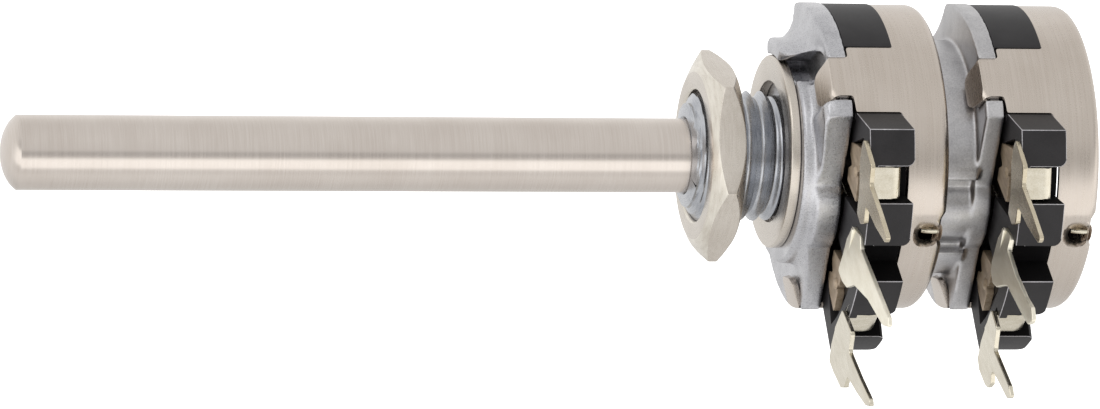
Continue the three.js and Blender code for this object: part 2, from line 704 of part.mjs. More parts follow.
function makeRotor() {
  const plate = disc(rotorDiscRadius, rotorDiscFront, rotorDiscRear, innerSteps);
  const hub = disc(rotorHubRadius, rotorHubFront, rotorHubRear, innerSteps);
  const armHalf = 180 * degree - shaftSwing - stopHalfAngle - armSideGap;
  const arm = sector(rotorHubRadius, rotorArmRadius, 180 * degree - armHalf,
    180 * degree + armHalf, rotorArmFront, rotorArmRear);
  const bore = cut(disc(shaftRadius + seatGap, rotorHubFront - cutPast, rotorHubRear + cutPast, innerSteps),
    ...[0, 180 * degree].map(side => bar(side, flatsWidth / 2 + seatGap, shaftRadius + cutPast,
      shaftRadius + cutPast, rotorHubFront - cutPast, rotorHubRear + cutPast)));
  return cut(join(plate, hub, arm), bore);
}

// The wiper: a ring on the rotor with one finger on the track and one on the collector.
function makeWiper() {
  const innerRadius = rotorHubRadius + fitGap;
  const body = ring(innerRadius, trackOuterRadius, wiperFront, wiperRear, innerSteps);
  const touch = filmRear + seatGap;
  const collectorMiddle = (collectorInnerRadius + collectorOuterRadius) / 2;
  const fingers = [trackMiddle, collectorMiddle].map(r =>
    bar(180 * degree, r - fingerHalfWidth, r + fingerHalfWidth, 2 * fingerHalfWidth, touch,
      wiperFront + seatGap));
  return join(body, ...fingers);
}

function addGang(gang) {
  const name = gangNames[gang];
  const group = new THREE.Group();
  group.position.x = gang * gangPitch;
  assembly.add(group);
  const add = (piece, body, finish) => addPiece(`${name}_${piece}`, body, finish, 0, group);
  add('housing', makeHousing(), finishes.moulding);
  add('element_board', makeBoard(), finishes.board);
  add('carbon_track', makeTrack(), finishes.carbon);
  add('collector_ring', makeCollector(), finishes.silver);
  add('solder_lug_1', makeOuterLug(lugOutlines[name], 0), finishes.tin);
  add('solder_lug_2', makeMiddleLug(lugOutlines[name]), finishes.tin);
  add('solder_lug_3', makeOuterLug(lugOutlines[name], 2), finishes.tin);
  add('root_clip_1', makeClip(0), finishes.tin);
  add('root_clip_3', makeClip(2), finishes.tin);
  for (let i = 0; i < strapAngles.length; i += 1) {
    add(`rivet_${i + 1}`, makeRivet(i), finishes.tin);
  }
  add('rotor', makeRotor(), finishes.moulding);
  add('wiper', makeWiper(), finishes.spring);
  add('can', makeCan(), finishes.nickel);
}

addPiece('shaft', makeShaft(), finishes.shaftNickel);
addPiece('front_snap_ring', makeSnapRing(frontRingX), finishes.steel);
addPiece('rear_snap_ring', makeSnapRing(gangPitch + hubBack), finishes.steel);
addPiece('front_plate', makeFrontPlate(), finishes.zinc);
addPiece('rear_plate', makeRearPlate(), finishes.zinc, gangPitch);
addPiece('hex_nut', makeNut(), finishes.nickel);
const washer = addPiece('flat_washer', makeWasher(), finishes.nickel);
washer.position.y = -washerShift * Math.cos(washerShiftAngle);
washer.position.z = washerShift * Math.sin(washerShiftAngle);
gangNames.forEach((name, gang) => addGang(gang));

export default assembly;
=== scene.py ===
# A two-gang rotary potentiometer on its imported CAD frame.
# Shapes are worked out in millimetres and shrunk to metres when a piece is finished.
# x runs back along the shaft, u points at the solder lugs and v points up.
import math
from contextlib import contextmanager

import bmesh
import bpy
from mathutils import Matrix, Vector
from mathutils.geometry import delaunay_2d_cdt


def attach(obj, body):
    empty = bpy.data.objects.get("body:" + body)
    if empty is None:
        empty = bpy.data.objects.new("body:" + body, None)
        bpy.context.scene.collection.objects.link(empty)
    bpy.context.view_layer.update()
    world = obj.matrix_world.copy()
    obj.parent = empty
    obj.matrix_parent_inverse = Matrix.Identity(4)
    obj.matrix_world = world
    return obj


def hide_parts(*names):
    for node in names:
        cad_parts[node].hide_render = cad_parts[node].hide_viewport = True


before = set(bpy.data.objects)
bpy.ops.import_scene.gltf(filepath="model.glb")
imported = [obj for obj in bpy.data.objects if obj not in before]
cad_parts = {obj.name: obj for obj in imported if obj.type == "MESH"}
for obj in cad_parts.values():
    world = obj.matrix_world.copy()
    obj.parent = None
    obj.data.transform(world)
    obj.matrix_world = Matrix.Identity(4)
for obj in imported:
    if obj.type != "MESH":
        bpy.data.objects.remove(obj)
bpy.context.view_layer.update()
scene = bpy.context.scene
print("frame loaded:", len(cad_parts), "nodes")

mm = 0.001
degree = math.pi / 180
overlap = 0.1   # how far solids run into each other where they are joined
sliver = 0.02   # how far a tool stands clear of a face that it mustn't touch
gangPitch = 8.28
gangNames = ["front", "rear"]


def added(name, data):
    made = bpy.data.objects.new(name, data)
    scene.collection.objects.link(made)
    return made


# the photograph's own viewing angle
camera = {
    "azimuth": -12.5, "elevation": 34.0, "roll": 0.19, "distance": 400.0,
    "target": (-12.55, -1.49, -2.2), "lens": 244.8, "sensor": 36, "clip": (0.01, 10)}


def makeCamera():
    a, e, roll = (camera[key] * degree for key in ("azimuth", "elevation", "roll"))
    back = Vector((math.sin(a), -math.cos(a) * math.cos(e), math.cos(a) * math.sin(e))).normalized()
    right = Vector((math.cos(a), math.sin(a) * math.cos(e), -math.sin(a) * math.sin(e)))
    up = back.cross(right)
    sideways = right * math.cos(roll) + up * math.sin(roll)
    upwards = up * math.cos(roll) - right * math.sin(roll)
    data = bpy.data.cameras.new("photoCamera")
    data.lens, data.sensor_width = camera["lens"], camera["sensor"]
    data.clip_start, data.clip_end = camera["clip"]
    place = (Vector(camera["target"]) + back * camera["distance"]) * mm
    rows = [[axis[i] for axis in (sideways, upwards, back, place)] for i in range(3)]
    scene.camera = added("photoCamera", data)
    scene.camera.matrix_world = Matrix(rows + [[0, 0, 0, 1]])


makeCamera()


# plain mesh tools, all in millimetres
def polar(x, r, angle):
    return Vector((x, -r * math.cos(angle), r * math.sin(angle)))


def held(value):
    # a number kept between 0 and 1
    return min(1.0, max(0.0, value))


def eased(t):
    return t * t * (3 - 2 * t)


def circle(u, v, radius, steps):
    turns = [2 * math.pi * i / steps for i in range(steps)]
    return [(u + radius * math.cos(turn), v + radius * math.sin(turn)) for turn in turns]


def meshOf(points, faces):
    mesh = bpy.data.meshes.new("work")
    mesh.from_pydata([tuple(p) for p in points], [], faces)
    tidyMesh(mesh)
    return mesh


@contextmanager
def opened(mesh, merge):
    # a mesh for editing, with near points merged
    bm = bmesh.new()
    bm.from_mesh(mesh)
    bmesh.ops.remove_doubles(bm, verts=bm.verts, dist=merge)
    yield bm
    bm.to_mesh(mesh)
    bm.free()


def tidyMesh(mesh, flat=None, merge=2e-5):
    with opened(mesh, merge) as bm:
        bmesh.ops.dissolve_degenerate(bm, edges=bm.edges, dist=1e-5)
        if flat:
            bmesh.ops.dissolve_limit(bm, angle_limit=flat, verts=bm.verts, edges=bm.edges)
        bmesh.ops.recalc_face_normals(bm, faces=bm.faces)


def lathe(profile, steps=96):
    # a solid turned about the shaft; a profile that starts off the axis closes on itself
    rings, points, faces = [], [], []
    for x, r in profile:
        if r < 1e-6:
            rings.append([len(points)])
            points.append(Vector((x, 0, 0)))
        else:
            rings.append(list(range(len(points), len(points) + steps)))
            points += [polar(x, r, 2 * math.pi * i / steps) for i in range(steps)]
    pairs = list(zip(rings, rings[1:]))
    if profile[0][1] > 1e-6:
        pairs.append((rings[-1], rings[0]))
    for a, b in pairs:
        for i in range(steps):
            j = (i + 1) % steps
            face = list(dict.fromkeys([a[i % len(a)], a[j % len(a)], b[j % len(b)], b[i % len(b)]]))
            if len(face) > 2:
                faces.append(face)
    return meshOf(points, faces)


def loft(rows):
    # a solid through rings of points, closed at the first and the last
    n, last = len(rows[0]), len(rows) - 1
    faces = [list(range(n)), [last * n + i for i in reversed(range(n))]]
    faces += [[k * n + i, k * n + (i + 1) % n, (k + 1) * n + (i + 1) % n, (k + 1) * n + i]
              for k in range(last) for i in range(n)]
    return meshOf([p for row in rows for p in row], faces)


def prism(outline, x0, x1):
    return loft([[Vector((x, -u, v)) for u, v in outline] for x in (x0, x1)])


def arc(r, a0, a1, steps):
    return [(r * math.cos(a0 + (a1 - a0) * i / steps), r * math.sin(a0 + (a1 - a0) * i / steps))
            for i in range(steps + 1)]


def sector(r0, r1, a0, a1, x0, x1, step=3.0):
    a0, a1 = a0 * degree, a1 * degree
    steps = max(1, round(abs(a1 - a0) / degree / step))
    return prism(arc(r1, a0, a1, steps) + arc(r0, a1, a0, steps), x0, x1)


def disc(r, x0, x1, steps=96):
    return lathe([(x0, 0), (x0, r), (x1, r), (x1, 0)], steps)


def bar(angle, r0, r1, halfWidth, x0, x1):
    c, s = math.cos(angle * degree), math.sin(angle * degree)
    corners = [(r0, -halfWidth), (r1, -halfWidth), (r1, halfWidth), (r0, halfWidth)]
    return prism([(r * c - w * s, r * s + w * c) for r, w in corners], x0, x1)


def pin(angle, distance, radius, x0, x1, steps=24):
    _, u, v = polar(0, distance, angle * degree)
    return prism(circle(-u, v, radius, steps), x0, x1)


def radialPrism(outline, r0, r1):
    # an outline in x and degrees, carried outwards
    return loft([[polar(x, r, angle * degree) for x, angle in outline] for r in (r0, r1)])


def strip(side, angle, halfWidth):
    # a side view in x and r, spread across its width
    c, s = math.cos(angle * degree), math.sin(angle * degree)
    return loft([[Vector((x, -(r * c - w * s), r * s + w * c)) for x, r in side]
                 for w in (-halfWidth, halfWidth)])


def roundedLoop(points, radius, steps=4, closed=True):
    # the same outline with its corners rounded; a radius may be given per corner
    done, n = [], len(points)
    for i, point in enumerate(points):
        size = radius[i] if isinstance(radius, (list, tuple)) else radius
        here = Vector(point[:2])
        if size <= 0 or (not closed and i in (0, n - 1)):
            done.append(tuple(here))
            continue
        before = Vector(points[i - 1][:2]) - here
        after = Vector(points[(i + 1) % n][:2]) - here
        turn = before.angle(after)
        reach = size / max(math.tan(turn / 2), 1e-3)
        reach = min(reach, before.length * 0.48, after.length * 0.48)
        start, end = here + before.normalized() * reach, here + after.normalized() * reach
        for t in (k / steps for k in range(steps + 1)):
            done.append(tuple(start * (1 - t) ** 2 + here * 2 * t * (1 - t) + end * t ** 2))
    return done


def worked(mesh, *steps):
    # a mesh after modifiers, each given as its type and settings
    worker = added("worker", mesh)
    for kind, settings in steps:
        modifier = worker.modifiers.new(kind, kind)
        for key, value in settings.items():
            setattr(modifier, key, value)
    view = bpy.context.evaluated_depsgraph_get()
    result = bpy.data.meshes.new_from_object(worker.evaluated_get(view))
    bpy.data.objects.remove(worker)
    return result


def combined(operation, mesh, *tools):
    helpers = [added("tool", tool) for tool in tools]
    result = worked(mesh, *[("BOOLEAN", {"operation": operation, "solver": "MANIFOLD", "object": helper})
                            for helper in helpers])
    for helper in helpers:
        bpy.data.objects.remove(helper)
    if not len(result.polygons):
        raise RuntimeError("a solid came out empty")
    return result


def cut(mesh, *tools):
    return combined("DIFFERENCE", mesh, *tools)


def join(mesh, *tools):
    return combined("UNION", mesh, *tools)


def softened(mesh, width, angle=30, edgeSlot=-1):
    tidyMesh(mesh, flat=0.2 * degree, merge=width * 0.3)
    for _ in range(edgeSlot + 1):
        mesh.materials.append(None)
    return worked(mesh, ("TRIANGULATE", {"min_vertices": 5}), ("BEVEL", {
        "width": width, "segments": 2, "limit_method": "ANGLE", "angle_limit": angle * degree,
        "use_clamp_overlap": False, "material": edgeSlot, "miter_outer": "MITER_ARC"}))


def castSurface(mesh, voxel, rounds, keep):
    # a casting's soft edges: remeshed, smoothed and thinned again
    return worked(mesh,
                  ("REMESH", {"mode": "VOXEL", "voxel_size": voxel, "adaptivity": 0}),
                  ("SMOOTH", {"factor": 0.5, "iterations": rounds}),
                  ("DECIMATE", {"ratio": keep}))


def moved(mesh, x):
    copy = mesh.copy()
    copy.transform(Matrix.Translation((x, 0, 0)))
    return copy


def piece(name, mesh, finishes, body, replaces=(), smooth=38, flat=False):
    mesh.transform(Matrix.Scale(mm, 4))
    with opened(mesh, 1e-8) as bm:
        bmesh.ops.recalc_face_normals(bm, faces=bm.faces)
    mesh.name = name
    finishes = finishes if isinstance(finishes, list) else [finishes]
    places = [min(face.material_index, len(finishes) - 1) for face in mesh.polygons]
    mesh.materials.clear()
    for finish in finishes:
        mesh.materials.append(finish)
    mesh.polygons.foreach_set("material_index", places)
    mesh.polygons.foreach_set("use_smooth", [True] * len(mesh.polygons))
    mesh.set_sharp_from_angle(angle=smooth * degree)
    made = added(name, mesh)
    if flat:
        made.modifiers.new("normals", "WEIGHTED_NORMAL").keep_sharp = True
    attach(made, body)
    if replaces:
        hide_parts(*replaces)
    return made


def gangPiece(gang, part, mesh, finishes, node=None, smooth=38, flat=False):
    name = gangNames[gang]
    piece(f"{name}_{part}", moved(mesh, gang * gangPitch), finishes, "frame",
          [f"{name}_{node}"] if node else (), smooth, flat)


class Wire:
    # a socket that sums can be written with
    def __init__(self, maker, socket):
        self.maker, self.socket = maker, socket

    def sum(self, operation, first, second):
        return self.maker.node("Math", {"operation": operation}, {0: first, 1: second})

    def __add__(self, other):
        return self.sum("ADD", self, other)

    def __sub__(self, other):
        return self.sum("SUBTRACT", self, other)

    def __rsub__(self, other):
        return self.sum("SUBTRACT", other, self)

    def __mul__(self, other):
        return self.sum("MULTIPLY", self, other)

    def __pow__(self, other):
        return self.sum("POWER", self, other)

    __radd__ = __add__
    __rmul__ = __mul__


class Nodes:
    # a node tree whose nodes all come from one method
    def __init__(self, tree):
        self.nodes, self.links = tree.nodes, tree.links

    def node(self, kind, settings, sockets, output=0):
        made = self.nodes.new("ShaderNode" + kind)
        for key, value in settings.items():
            if key == "stops":
                ramp = made.color_ramp
                while len(ramp.elements) < len(value):
                    ramp.elements.new(0.5)
                for element, (position, colour) in zip(ramp.elements, value):
                    element.position = position
                    element.color = colour
            else:
                setattr(made, key, value)
        for key, value in sockets.items():
            if isinstance(value, Wire):
                self.links.new(value.socket, made.inputs[key])
            else:
                made.inputs[key].default_value = value
        return Wire(self, made.outputs[output])

    def parts(self, vector):
        first = self.node("SeparateXYZ", {}, {0: vector})
        return [Wire(self, socket) for socket in first.socket.node.outputs]

    def blend(self, factor, first, second):
        return self.node("Mix", {"data_type": "RGBA"}, {0: factor, 6: first, 7: second}, 2)


def rgb(seen):
    # a colour as it is seen, turned into light
    return tuple(((c / 255 + 0.055) / 1.055) ** 2.4 for c in seen) + (1.0,)


class Finish(Nodes):
    def __init__(self, name, constants):
        self.material = bpy.data.materials.new(name)
        self.material.use_nodes = True
        super().__init__(self.material.node_tree)
        self.shader = self.nodes["Principled BSDF"]
        for key, value in constants.items():
            self.shader.inputs[key].default_value = value
        spot = self.node("TexCoord", {}, {}, "Object")
        self.spot = self.node("VectorMath", {"operation": "SCALE"}, {0: spot, "Scale": 1 / mm}, "Vector")

    def set(self, name, wire):
        self.links.new(wire.socket, self.shader.inputs[name])

    def noise(self, scale, detail=3.0, roughness=0.55, vector=None):
        return self.node("TexNoise", {}, {"Vector": vector or self.spot, "Scale": scale,
                                          "Detail": detail, "Roughness": roughness}, "Fac")

    def stretch(self, *factors):
        return self.node("VectorMath", {"operation": "MULTIPLY"}, {0: self.spot, 1: factors}, "Vector")

    def ramp(self, wire, low, high):
        return self.node("MapRange", {"clamp": True}, {"Value": wire, "From Min": low, "From Max": high})

    def around(self, perMillimetre, perTurn):
        # coordinates that run along and around the shaft
        x, y, z = self.parts(self.spot)
        turn = self.node("Math", {"operation": "ARCTAN2"}, {0: y, 1: z})
        radius = (y * y + z * z) ** 0.5
        return self.node("CombineXYZ", {}, {0: x * perMillimetre, 1: turn * perTurn,
                                            2: radius * perMillimetre})

    def paint(self, wire, low, high, shade, tone, roughness):
        self.set("Base Color", self.blend(self.ramp(wire, low, high), rgb(shade), rgb(tone)))
        self.set("Roughness", roughness)

    def bump(self, height, strength, distance):
        made = self.node("Bump", {}, {"Height": height, "Strength": strength,
                                      "Distance": distance * mm}, "Normal")
        self.set("Normal", made)
        return self.material


def platedSteel(name, tone, shade, roughness, along, turns, depth):
    # satin plate with fine marks that run around the shaft
    made = Finish(name, {"Metallic": 1.0})
    marks = made.noise(1.0, 4.0, 0.6, made.around(along, turns))
    cloud = made.noise(0.35, 2.0)
    speck = made.noise(9.0, 2.0)
    made.paint(marks * 0.55 + cloud * 0.45, 0.36, 0.64, shade, tone,
               (marks - 0.5) * 0.22 + (speck - 0.5) * 0.1 + roughness)
    return made.bump(marks * 0.6 + speck * 0.4, 0.3, depth)


def castZinc(name, tone, shade, roughness):
    made = Finish(name, {"Metallic": 1.0})
    broad = made.noise(0.5, 4.0, 0.62)
    fine = made.noise(11.0, 4.0, 0.75)
    pits = made.ramp(made.noise(3.2, 2.0), 0.3, 0.42)
    made.paint(broad * 0.45 + fine * 0.55, 0.38, 0.64, shade, tone, (fine - 0.5) * 0.3 + roughness)
    return made.bump(fine * 0.6 + broad * 0.5 + pits * 0.15, 0.4, 0.035)


def moulded(name, tone, shade, roughness, gloss=0.36):
    made = Finish(name, {"Specular IOR Level": gloss})
    broad = made.noise(0.6, 3.0)
    fine = made.noise(14.0, 3.0, 0.6)
    made.paint(broad * 0.5 + fine * 0.5, 0.38, 0.62, shade, tone, (fine - 0.5) * 0.3 + roughness)
    return made.bump(fine, 0.3, 0.02)


def tinned(name, tone, shade, roughness, metal=1.0):
    made = Finish(name, {"Metallic": metal})
    flow = made.noise(1.3, 4.0, 0.6, made.stretch(1.0, 0.5, 1.6))
    fine = made.noise(11.0, 3.0, 0.6)
    made.paint(flow * 0.7 + fine * 0.3, 0.36, 0.62, shade, tone,
               (flow - 0.5) * 0.2 + (fine - 0.5) * 0.12 + roughness)
    return made.bump(flow * 0.6 + fine * 0.4, 0.25, 0.008)


def board(name, tone, shade):
    made = Finish(name, {})
    fibre = made.noise(2.0, 4.0, 0.6, made.stretch(1.0, 1.0, 7.0))
    fine = made.noise(16.0, 2.0)
    made.paint(fibre * 0.6 + fine * 0.4, 0.38, 0.62, shade, tone, (fine - 0.5) * 0.3 + 0.5)
    return made.bump(fibre, 0.3, 0.02)


shaftFinish = platedSteel("shaftNickel", (213, 205, 198), (203, 194, 186), 0.19, 14.0, 0.6, 0.004)
canFinish = platedSteel("canNickel", (204, 195, 186), (193, 183, 173), 0.29, 9.0, 1.6, 0.01)
# pale finish for the can's bevelled cut edges: a painted highlight where the edges catch the light
canEdgeHighlight = platedSteel("cutEdgeHighlight", (246, 240, 230), (226, 218, 206), 0.42, 9.0, 1.6, 0.01)
nutFinish = platedSteel("nutNickel", (212, 205, 196), (196, 188, 178), 0.28, 7.0, 2.4, 0.01)
# the nut's front chamfer: turned marks, and a brighter tone that is a painted highlight where the
# chamfer faces the light
chamferHighlightFinish = platedSteel("turnedChamferHighlight", (236, 231, 221), (206, 199, 187), 0.3, 5.0, 5.0, 0.02)
zincFinish = castZinc("castZinc", (208, 208, 211), (168, 168, 172), 0.3)
# a darker copy of the zinc for the rear casting: painted shade where the front gang shadows it
rearZincShadedFinish = castZinc("rearCastZincShaded", (205, 204, 205), (162, 161, 163), 0.34)
threadFinish = platedSteel("threadZinc", (198, 200, 204), (158, 161, 168), 0.26, 12.0, 4.0, 0.03)
mouldingFinish = moulded("blackMoulding", (39, 37, 39), (26, 24, 26), 0.5)
# pale finish for the moulding's bevelled edges: a painted highlight where the edges catch the light
mouldingHighlight = moulded("paintedEdgeHighlight", (200, 198, 202), (150, 147, 151), 0.4)
# near-black copy of the moulding: painted shade for the inside of the deep lug slots
mouldingSlotShade = moulded("paintedShadeMoulding", (13, 12, 13), (8, 7, 8), 0.8, 0.08)
lugFinish = tinned("tinnedBrass", (222, 216, 200), (204, 196, 177), 0.24)
# copies of the lug tinning, darker for the first lug and brighter for the second: painted shade and
# painted highlight for how each lug is turned to the light
lugLitAndShadedFinishes = [tinned("shadedLugBrass", (208, 198, 176), (188, 177, 154), 0.26),
               tinned("highlitLugBrass", (250, 246, 232), (236, 230, 212), 0.42), lugFinish]
clipFinish = tinned("dullBrass", (186, 168, 146), (140, 122, 100), 0.45, 0.25)
boardFinish = board("phenolicBoard", (44, 38, 34), (28, 24, 22))
carbonFinish = board("carbonTrack", (34, 34, 36), (20, 20, 22))
silverFinish = tinned("silverFilm", (214, 214, 212), (180, 180, 178), 0.3)
bronzeFinish = tinned("springBronze", (196, 150, 96), (160, 116, 70), 0.28)
steelFinish = tinned("springSteel", (120, 118, 118), (84, 82, 84), 0.3)
print("materials made:", len(bpy.data.materials))

shaft = {
    "radius": 2.0, "tip": -42.2, "end": 15.1, "dome": 0.85, "domeReach": 66, "domeSteps": 14,
    "barrel": -20.0, "chamfer": 0.2, "groove": 0.4, "grooves": [1.27, 14.30], "grooveWidth": 0.49,
    "grooveEdge": 0.02, "flats": 3.3, "flatRuns": [(3.65, 6.01), (11.93, 14.29)]}


def makeShaft():
    r, tip, dome = shaft["radius"], shaft["tip"], shaft["dome"]
    # the end is a full dome, cut short so that it meets the barrel at a crisp shoulder
    reach = shaft["domeReach"] * degree
    profile = [(tip, 0)]
    for i in range(1, shaft["domeSteps"] + 1):
        angle = reach * i / shaft["domeSteps"]
        profile.append((tip + dome * (1 - math.cos(angle)) / (1 - math.cos(reach)),
                        r * math.sin(angle) / math.sin(reach)))
    profile.append((shaft["barrel"], r))
    floor, edge, end = r - shaft["groove"], shaft["grooveEdge"], shaft["end"]
    for start in shaft["grooves"]:
        stop = start + shaft["grooveWidth"]
        profile += [(start - edge, r), (start, r - edge), (start, floor),
                    (stop, floor), (stop, r - edge), (stop + edge, r)]
    profile += [(end - shaft["chamfer"], r), (end, r - shaft["chamfer"]), (end, 0)]
    half = shaft["flats"] / 2
    flats = [bar(side, half, r + 1, r, x0, x1) for x0, x1 in shaft["flatRuns"] for side in (0, 180)]
    body = cut(lathe(profile), *flats)
    piece("turned_shaft", body, shaftFinish, "shaft", ["shaft"], 30)


makeShaft()

bushing = {
    "front": -5.24, "radius": 3.5, "pitch": 0.75, "depth": 0.36, "bore": 2.03, "rim": 2.12,
    "round": 0.62, "runout": -0.42, "fade": 0.3, "neck": 3.26, "start": -0.24, "rowsPerTurn": 14,
    "blunt": 1.7, "step": 0.2, "ragged": [(0.05, 3, 1), (0.03, 7, 2)], "last": -0.12, "collar": 3.1,
    "collarRear": 0.2, "lead": 0.1, "steps": 96}
nut = {
    "width": 10.0, "front": -4.69, "rear": -2.92, "frontFace": 4.5, "frontSlope": 0.5,
    "rearFace": 4.93, "rearSlope": 0.78, "corner": 12.6, "bore": 3.53, "sink": 0.12, "edge": 0.05,
    "highlightFacing": (-0.975, -0.6)}
washer = {
    "front": -0.55, "rear": -0.02, "outer": 5.2, "inner": 3.8, "shift": 0.25, "angle": 124,
    "round": 0.13, "burr": 0.04}


def threadRadius(x, angle):
    # a right-hand thread with rounded roots, which starts at the chamfer and dies out by the washer
    b = bushing
    phase = ((x - b["front"]) / b["pitch"] - angle / (2 * math.pi) + b["start"]) % 1.0
    tooth = (abs(phase - 0.5) * 2) ** b["blunt"]
    r = b["radius"] - b["depth"] * (1 - tooth)
    r = b["neck"] + (r - b["neck"]) * held((b["runout"] - x) / b["fade"])
    # the end is turned to a blunt, slightly ragged cone
    t = min(1.0, (x - b["front"]) / b["round"])
    ragged = sum(size * math.sin(angle * waves + start) for size, waves, start in b["ragged"])
    rise = 0.5 * min(1.0, t / b["step"]) if t < 0.5 else t
    return min(r, b["rim"] + ragged * (1 - t) + (b["radius"] - b["rim"]) * rise)


def makeBushing():
    # rows of points follow the helix, so that each crest is one line of edges
    steps, per, pitch = bushing["steps"], bushing["rowsPerTurn"], bushing["pitch"]
    front, last, bore = bushing["front"], bushing["last"], bushing["bore"]
    rows = int((last - front) / pitch * per) + 2 * per
    turns = [2 * math.pi * i / steps for i in range(steps)]
    points = []
    for k in range(rows + per + 1):
        for i, angle in enumerate(turns):
            x = front + pitch * ((k - bushing["start"] * per) / per + i / steps - 1)
            x = min(max(x, front), last)
            points.append(polar(x, threadRadius(x, angle), angle))
    faces = []
    for k in range(rows):
        for i in range(steps):
            a, b = k * steps + i, k * steps + i + 1
            if i == steps - 1:
                b = (k + per) * steps
            faces.append([a, b, b + steps, a + steps])
    collar, rear = bushing["collar"], bushing["collarRear"]
    rings = [(last, collar), (rear, collar), (rear, bore), (front + bushing["lead"], bore),
             (front, bushing["rim"])]
    start = len(points)
    for x, r in rings:
        points += [polar(x, r, angle) for angle in turns]
    chain = [rows * steps] + [start + k * steps for k in range(len(rings))] + [0]
    for a, b in zip(chain, chain[1:]):
        faces += [[a + i, a + (i + 1) % steps, b + (i + 1) % steps, b + i] for i in range(steps)]
    piece("threaded_bushing", meshOf(points, faces), threadFinish, "frame", (), 40)


def makeNut():
    corner = nut["width"] / 2 / math.cos(30 * degree)
    outline = arc(corner, nut["corner"] * degree, (nut["corner"] + 300) * degree, 5)
    front, rear, outer = nut["front"], nut["rear"], corner + overlap
    frontFace, rearFace = nut["frontFace"], nut["rearFace"]
    barrel = lathe([(front, 0), (front, frontFace),
                    (front + nut["frontSlope"] * (outer - frontFace), outer),
                    (rear - nut["rearSlope"] * (outer - rearFace), outer), (rear, rearFace),
                    (rear, 0)], 144)
    body = combined("INTERSECT", prism(outline, front - 0.5, rear + 0.5), barrel)
    bore, sink, past = nut["bore"], nut["sink"], overlap
    hole = lathe([(front - past, 0), (front - past, bore + sink + past), (front + sink, bore),
                  (rear - sink, bore), (rear + past, bore + sink + past), (rear + past, 0)])
    body = softened(cut(body, hole), nut["edge"], 12)
    # facets leaning towards the front take the brighter chamfer finish, a painted highlight
    low, high = nut["highlightFacing"]
    for face in body.polygons:
        face.material_index = 1 if low < face.normal.x < high else 0
    piece("hex_nut_body", body, [nutFinish, chamferHighlightFinish], "nut", ["hex_nut"], 35, True)


def makeWasher():
    front, rear, outer, inner = (washer[key] for key in ("front", "rear", "outer", "inner"))
    size, burr = washer["round"], washer["burr"]
    profile = [(front + 0.02, inner + 0.02), (front, inner + 0.07)]
    profile += [(front + size * (1 - math.cos(turn)), outer - size + size * math.sin(turn))
                for turn in (i / 4 * math.pi / 2 for i in range(5))]
    profile += [(rear - burr, outer), (rear, outer - burr), (rear, inner + 0.03), (rear - 0.03, inner)]
    body = lathe(profile, 128)
    body.transform(Matrix.Translation(polar(0, washer["shift"], washer["angle"] * degree)))
    piece("flat_washer_ring", body, nutFinish, "washer", ["flat_washer"], 30)


makeBushing()
makeNut()
makeWasher()
print("shaft, bushing, nut and washer made")

plate = {
    "front": 1.1, "rear": 2.1, "radius": 8.3, "lugSide": 5.5, "pad": (2.7, -0.19, 3.45),
    "scallopRadius": 5.7, "scallopDepth": 1.09, "scallopAngle": 145, "recess": 4.6,
    "recessFloor": 1.25, "lean": -0.06, "voxel": 0.09, "rounds": 5, "keep": 0.25}
boss = {"side": [(0, 0), (0, 5.64), (0.12, 5.75), (0.8, 5.8)], "root": 5.86, "bore": 3.0,
        "notch": (5.15, 7.2, 79, 112)}
tabs = {
    "angles": [64, 180, -61], "half": 8.6, "tip": 0.62, "bend": 1.08, "inner": 6.6, "room": 0.6,
    "flatTip": -0.6, "tipRound": 0.85, "waist": 0.9,
    "slot": [(0.3, 6.5), (0.3, 9.5), (3.0, 9.5), (3.0, 7.82), (1.5, 7.82), (1.02, 6.5)]}
nub = {
    "inner": 5.5, "innerEnd": 7.7, "from": 74, "full": 103, "to": 127, "blend": 1.14, "rear": 1.4,
    "side": [(-0.56, 6.1), (-0.42, 6.4), (0.26, 6.4), (0.48, 6.6), (0.68, 6.86), (0.82, 7.15),
             (0.89, 7.55), (0.94, 8.0), (1.0, 8.28)]}
skirt = {
    "from": -48, "to": 74, "front": 0.55, "rear": 1.3, "inner": 5.3, "land": 1.1, "slope": 0.0143,
    "slopeFrom": 12, "landEnd": 54, "landFade": 3, "rise": 0.6, "lip": (8, 0.2),
    "cone": [(0.55, 5.7), (0.7, 5.9), (0.85, 6.2), (0.97, 6.7), (1.04, 7.3), (1.08, 7.9), (1.16, 8.26)]}


def tabSlots():
    half = tabs["half"] + tabs["room"]
    return [sectorOfProfile(tabs["slot"], angle - half, angle + half) for angle in tabs["angles"]]


def sectorOfProfile(side, a0, a1, step=3.0):
    # a closed profile in x and r, swept between two angles; it may change with the angle
    steps = max(2, round((a1 - a0) / step))
    angles = [a0 + (a1 - a0) * k / steps for k in range(steps + 1)]
    return loft([[polar(x, r, angle * degree) for x, r in (side(angle) if callable(side) else side)]
                 for angle in angles])


def hornSide(angle):
    # the concave sheet from the nub to the rim, which sinks into the flange near the tab
    t = eased(held((nub["full"] - angle) / (nub["full"] - nub["from"])))
    inner = nub["inner"] + (nub["innerEnd"] - nub["inner"]) * held(t * 1.1)
    side = [(x + (nub["blend"] - x) * t, max(r, inner + 0.03 * (i + 1)))
            for i, (x, r) in enumerate(nub["side"])]
    return [(side[0][0], inner)] + side + [(nub["rear"], nub["side"][-1][1]), (nub["rear"], inner)]


def skirtSide(angle):
    # a cone round the boss, which turns into a flat land beside the upper lugs
    front, rear, inner, full = (skirt[key] for key in ("front", "rear", "inner", "land"))
    land = max(front, full - skirt["slope"] * max(0, angle - skirt["slopeFrom"]))
    land += (full - land) * held((angle - skirt["landEnd"]) / skirt["landFade"])
    first, last = skirt["cone"][0][1], skirt["cone"][-1][1]
    lipFrom, lip = skirt["lip"]
    side = []
    for x, r in skirt["cone"]:
        rise = (land - front) * min(1.0, (r - first) / skirt["rise"])
        side.append((min(x, front + rise + lip * (r > lipFrom)), r))
    return [(front, inner)] + side + [(rear, last), (rear, inner)]


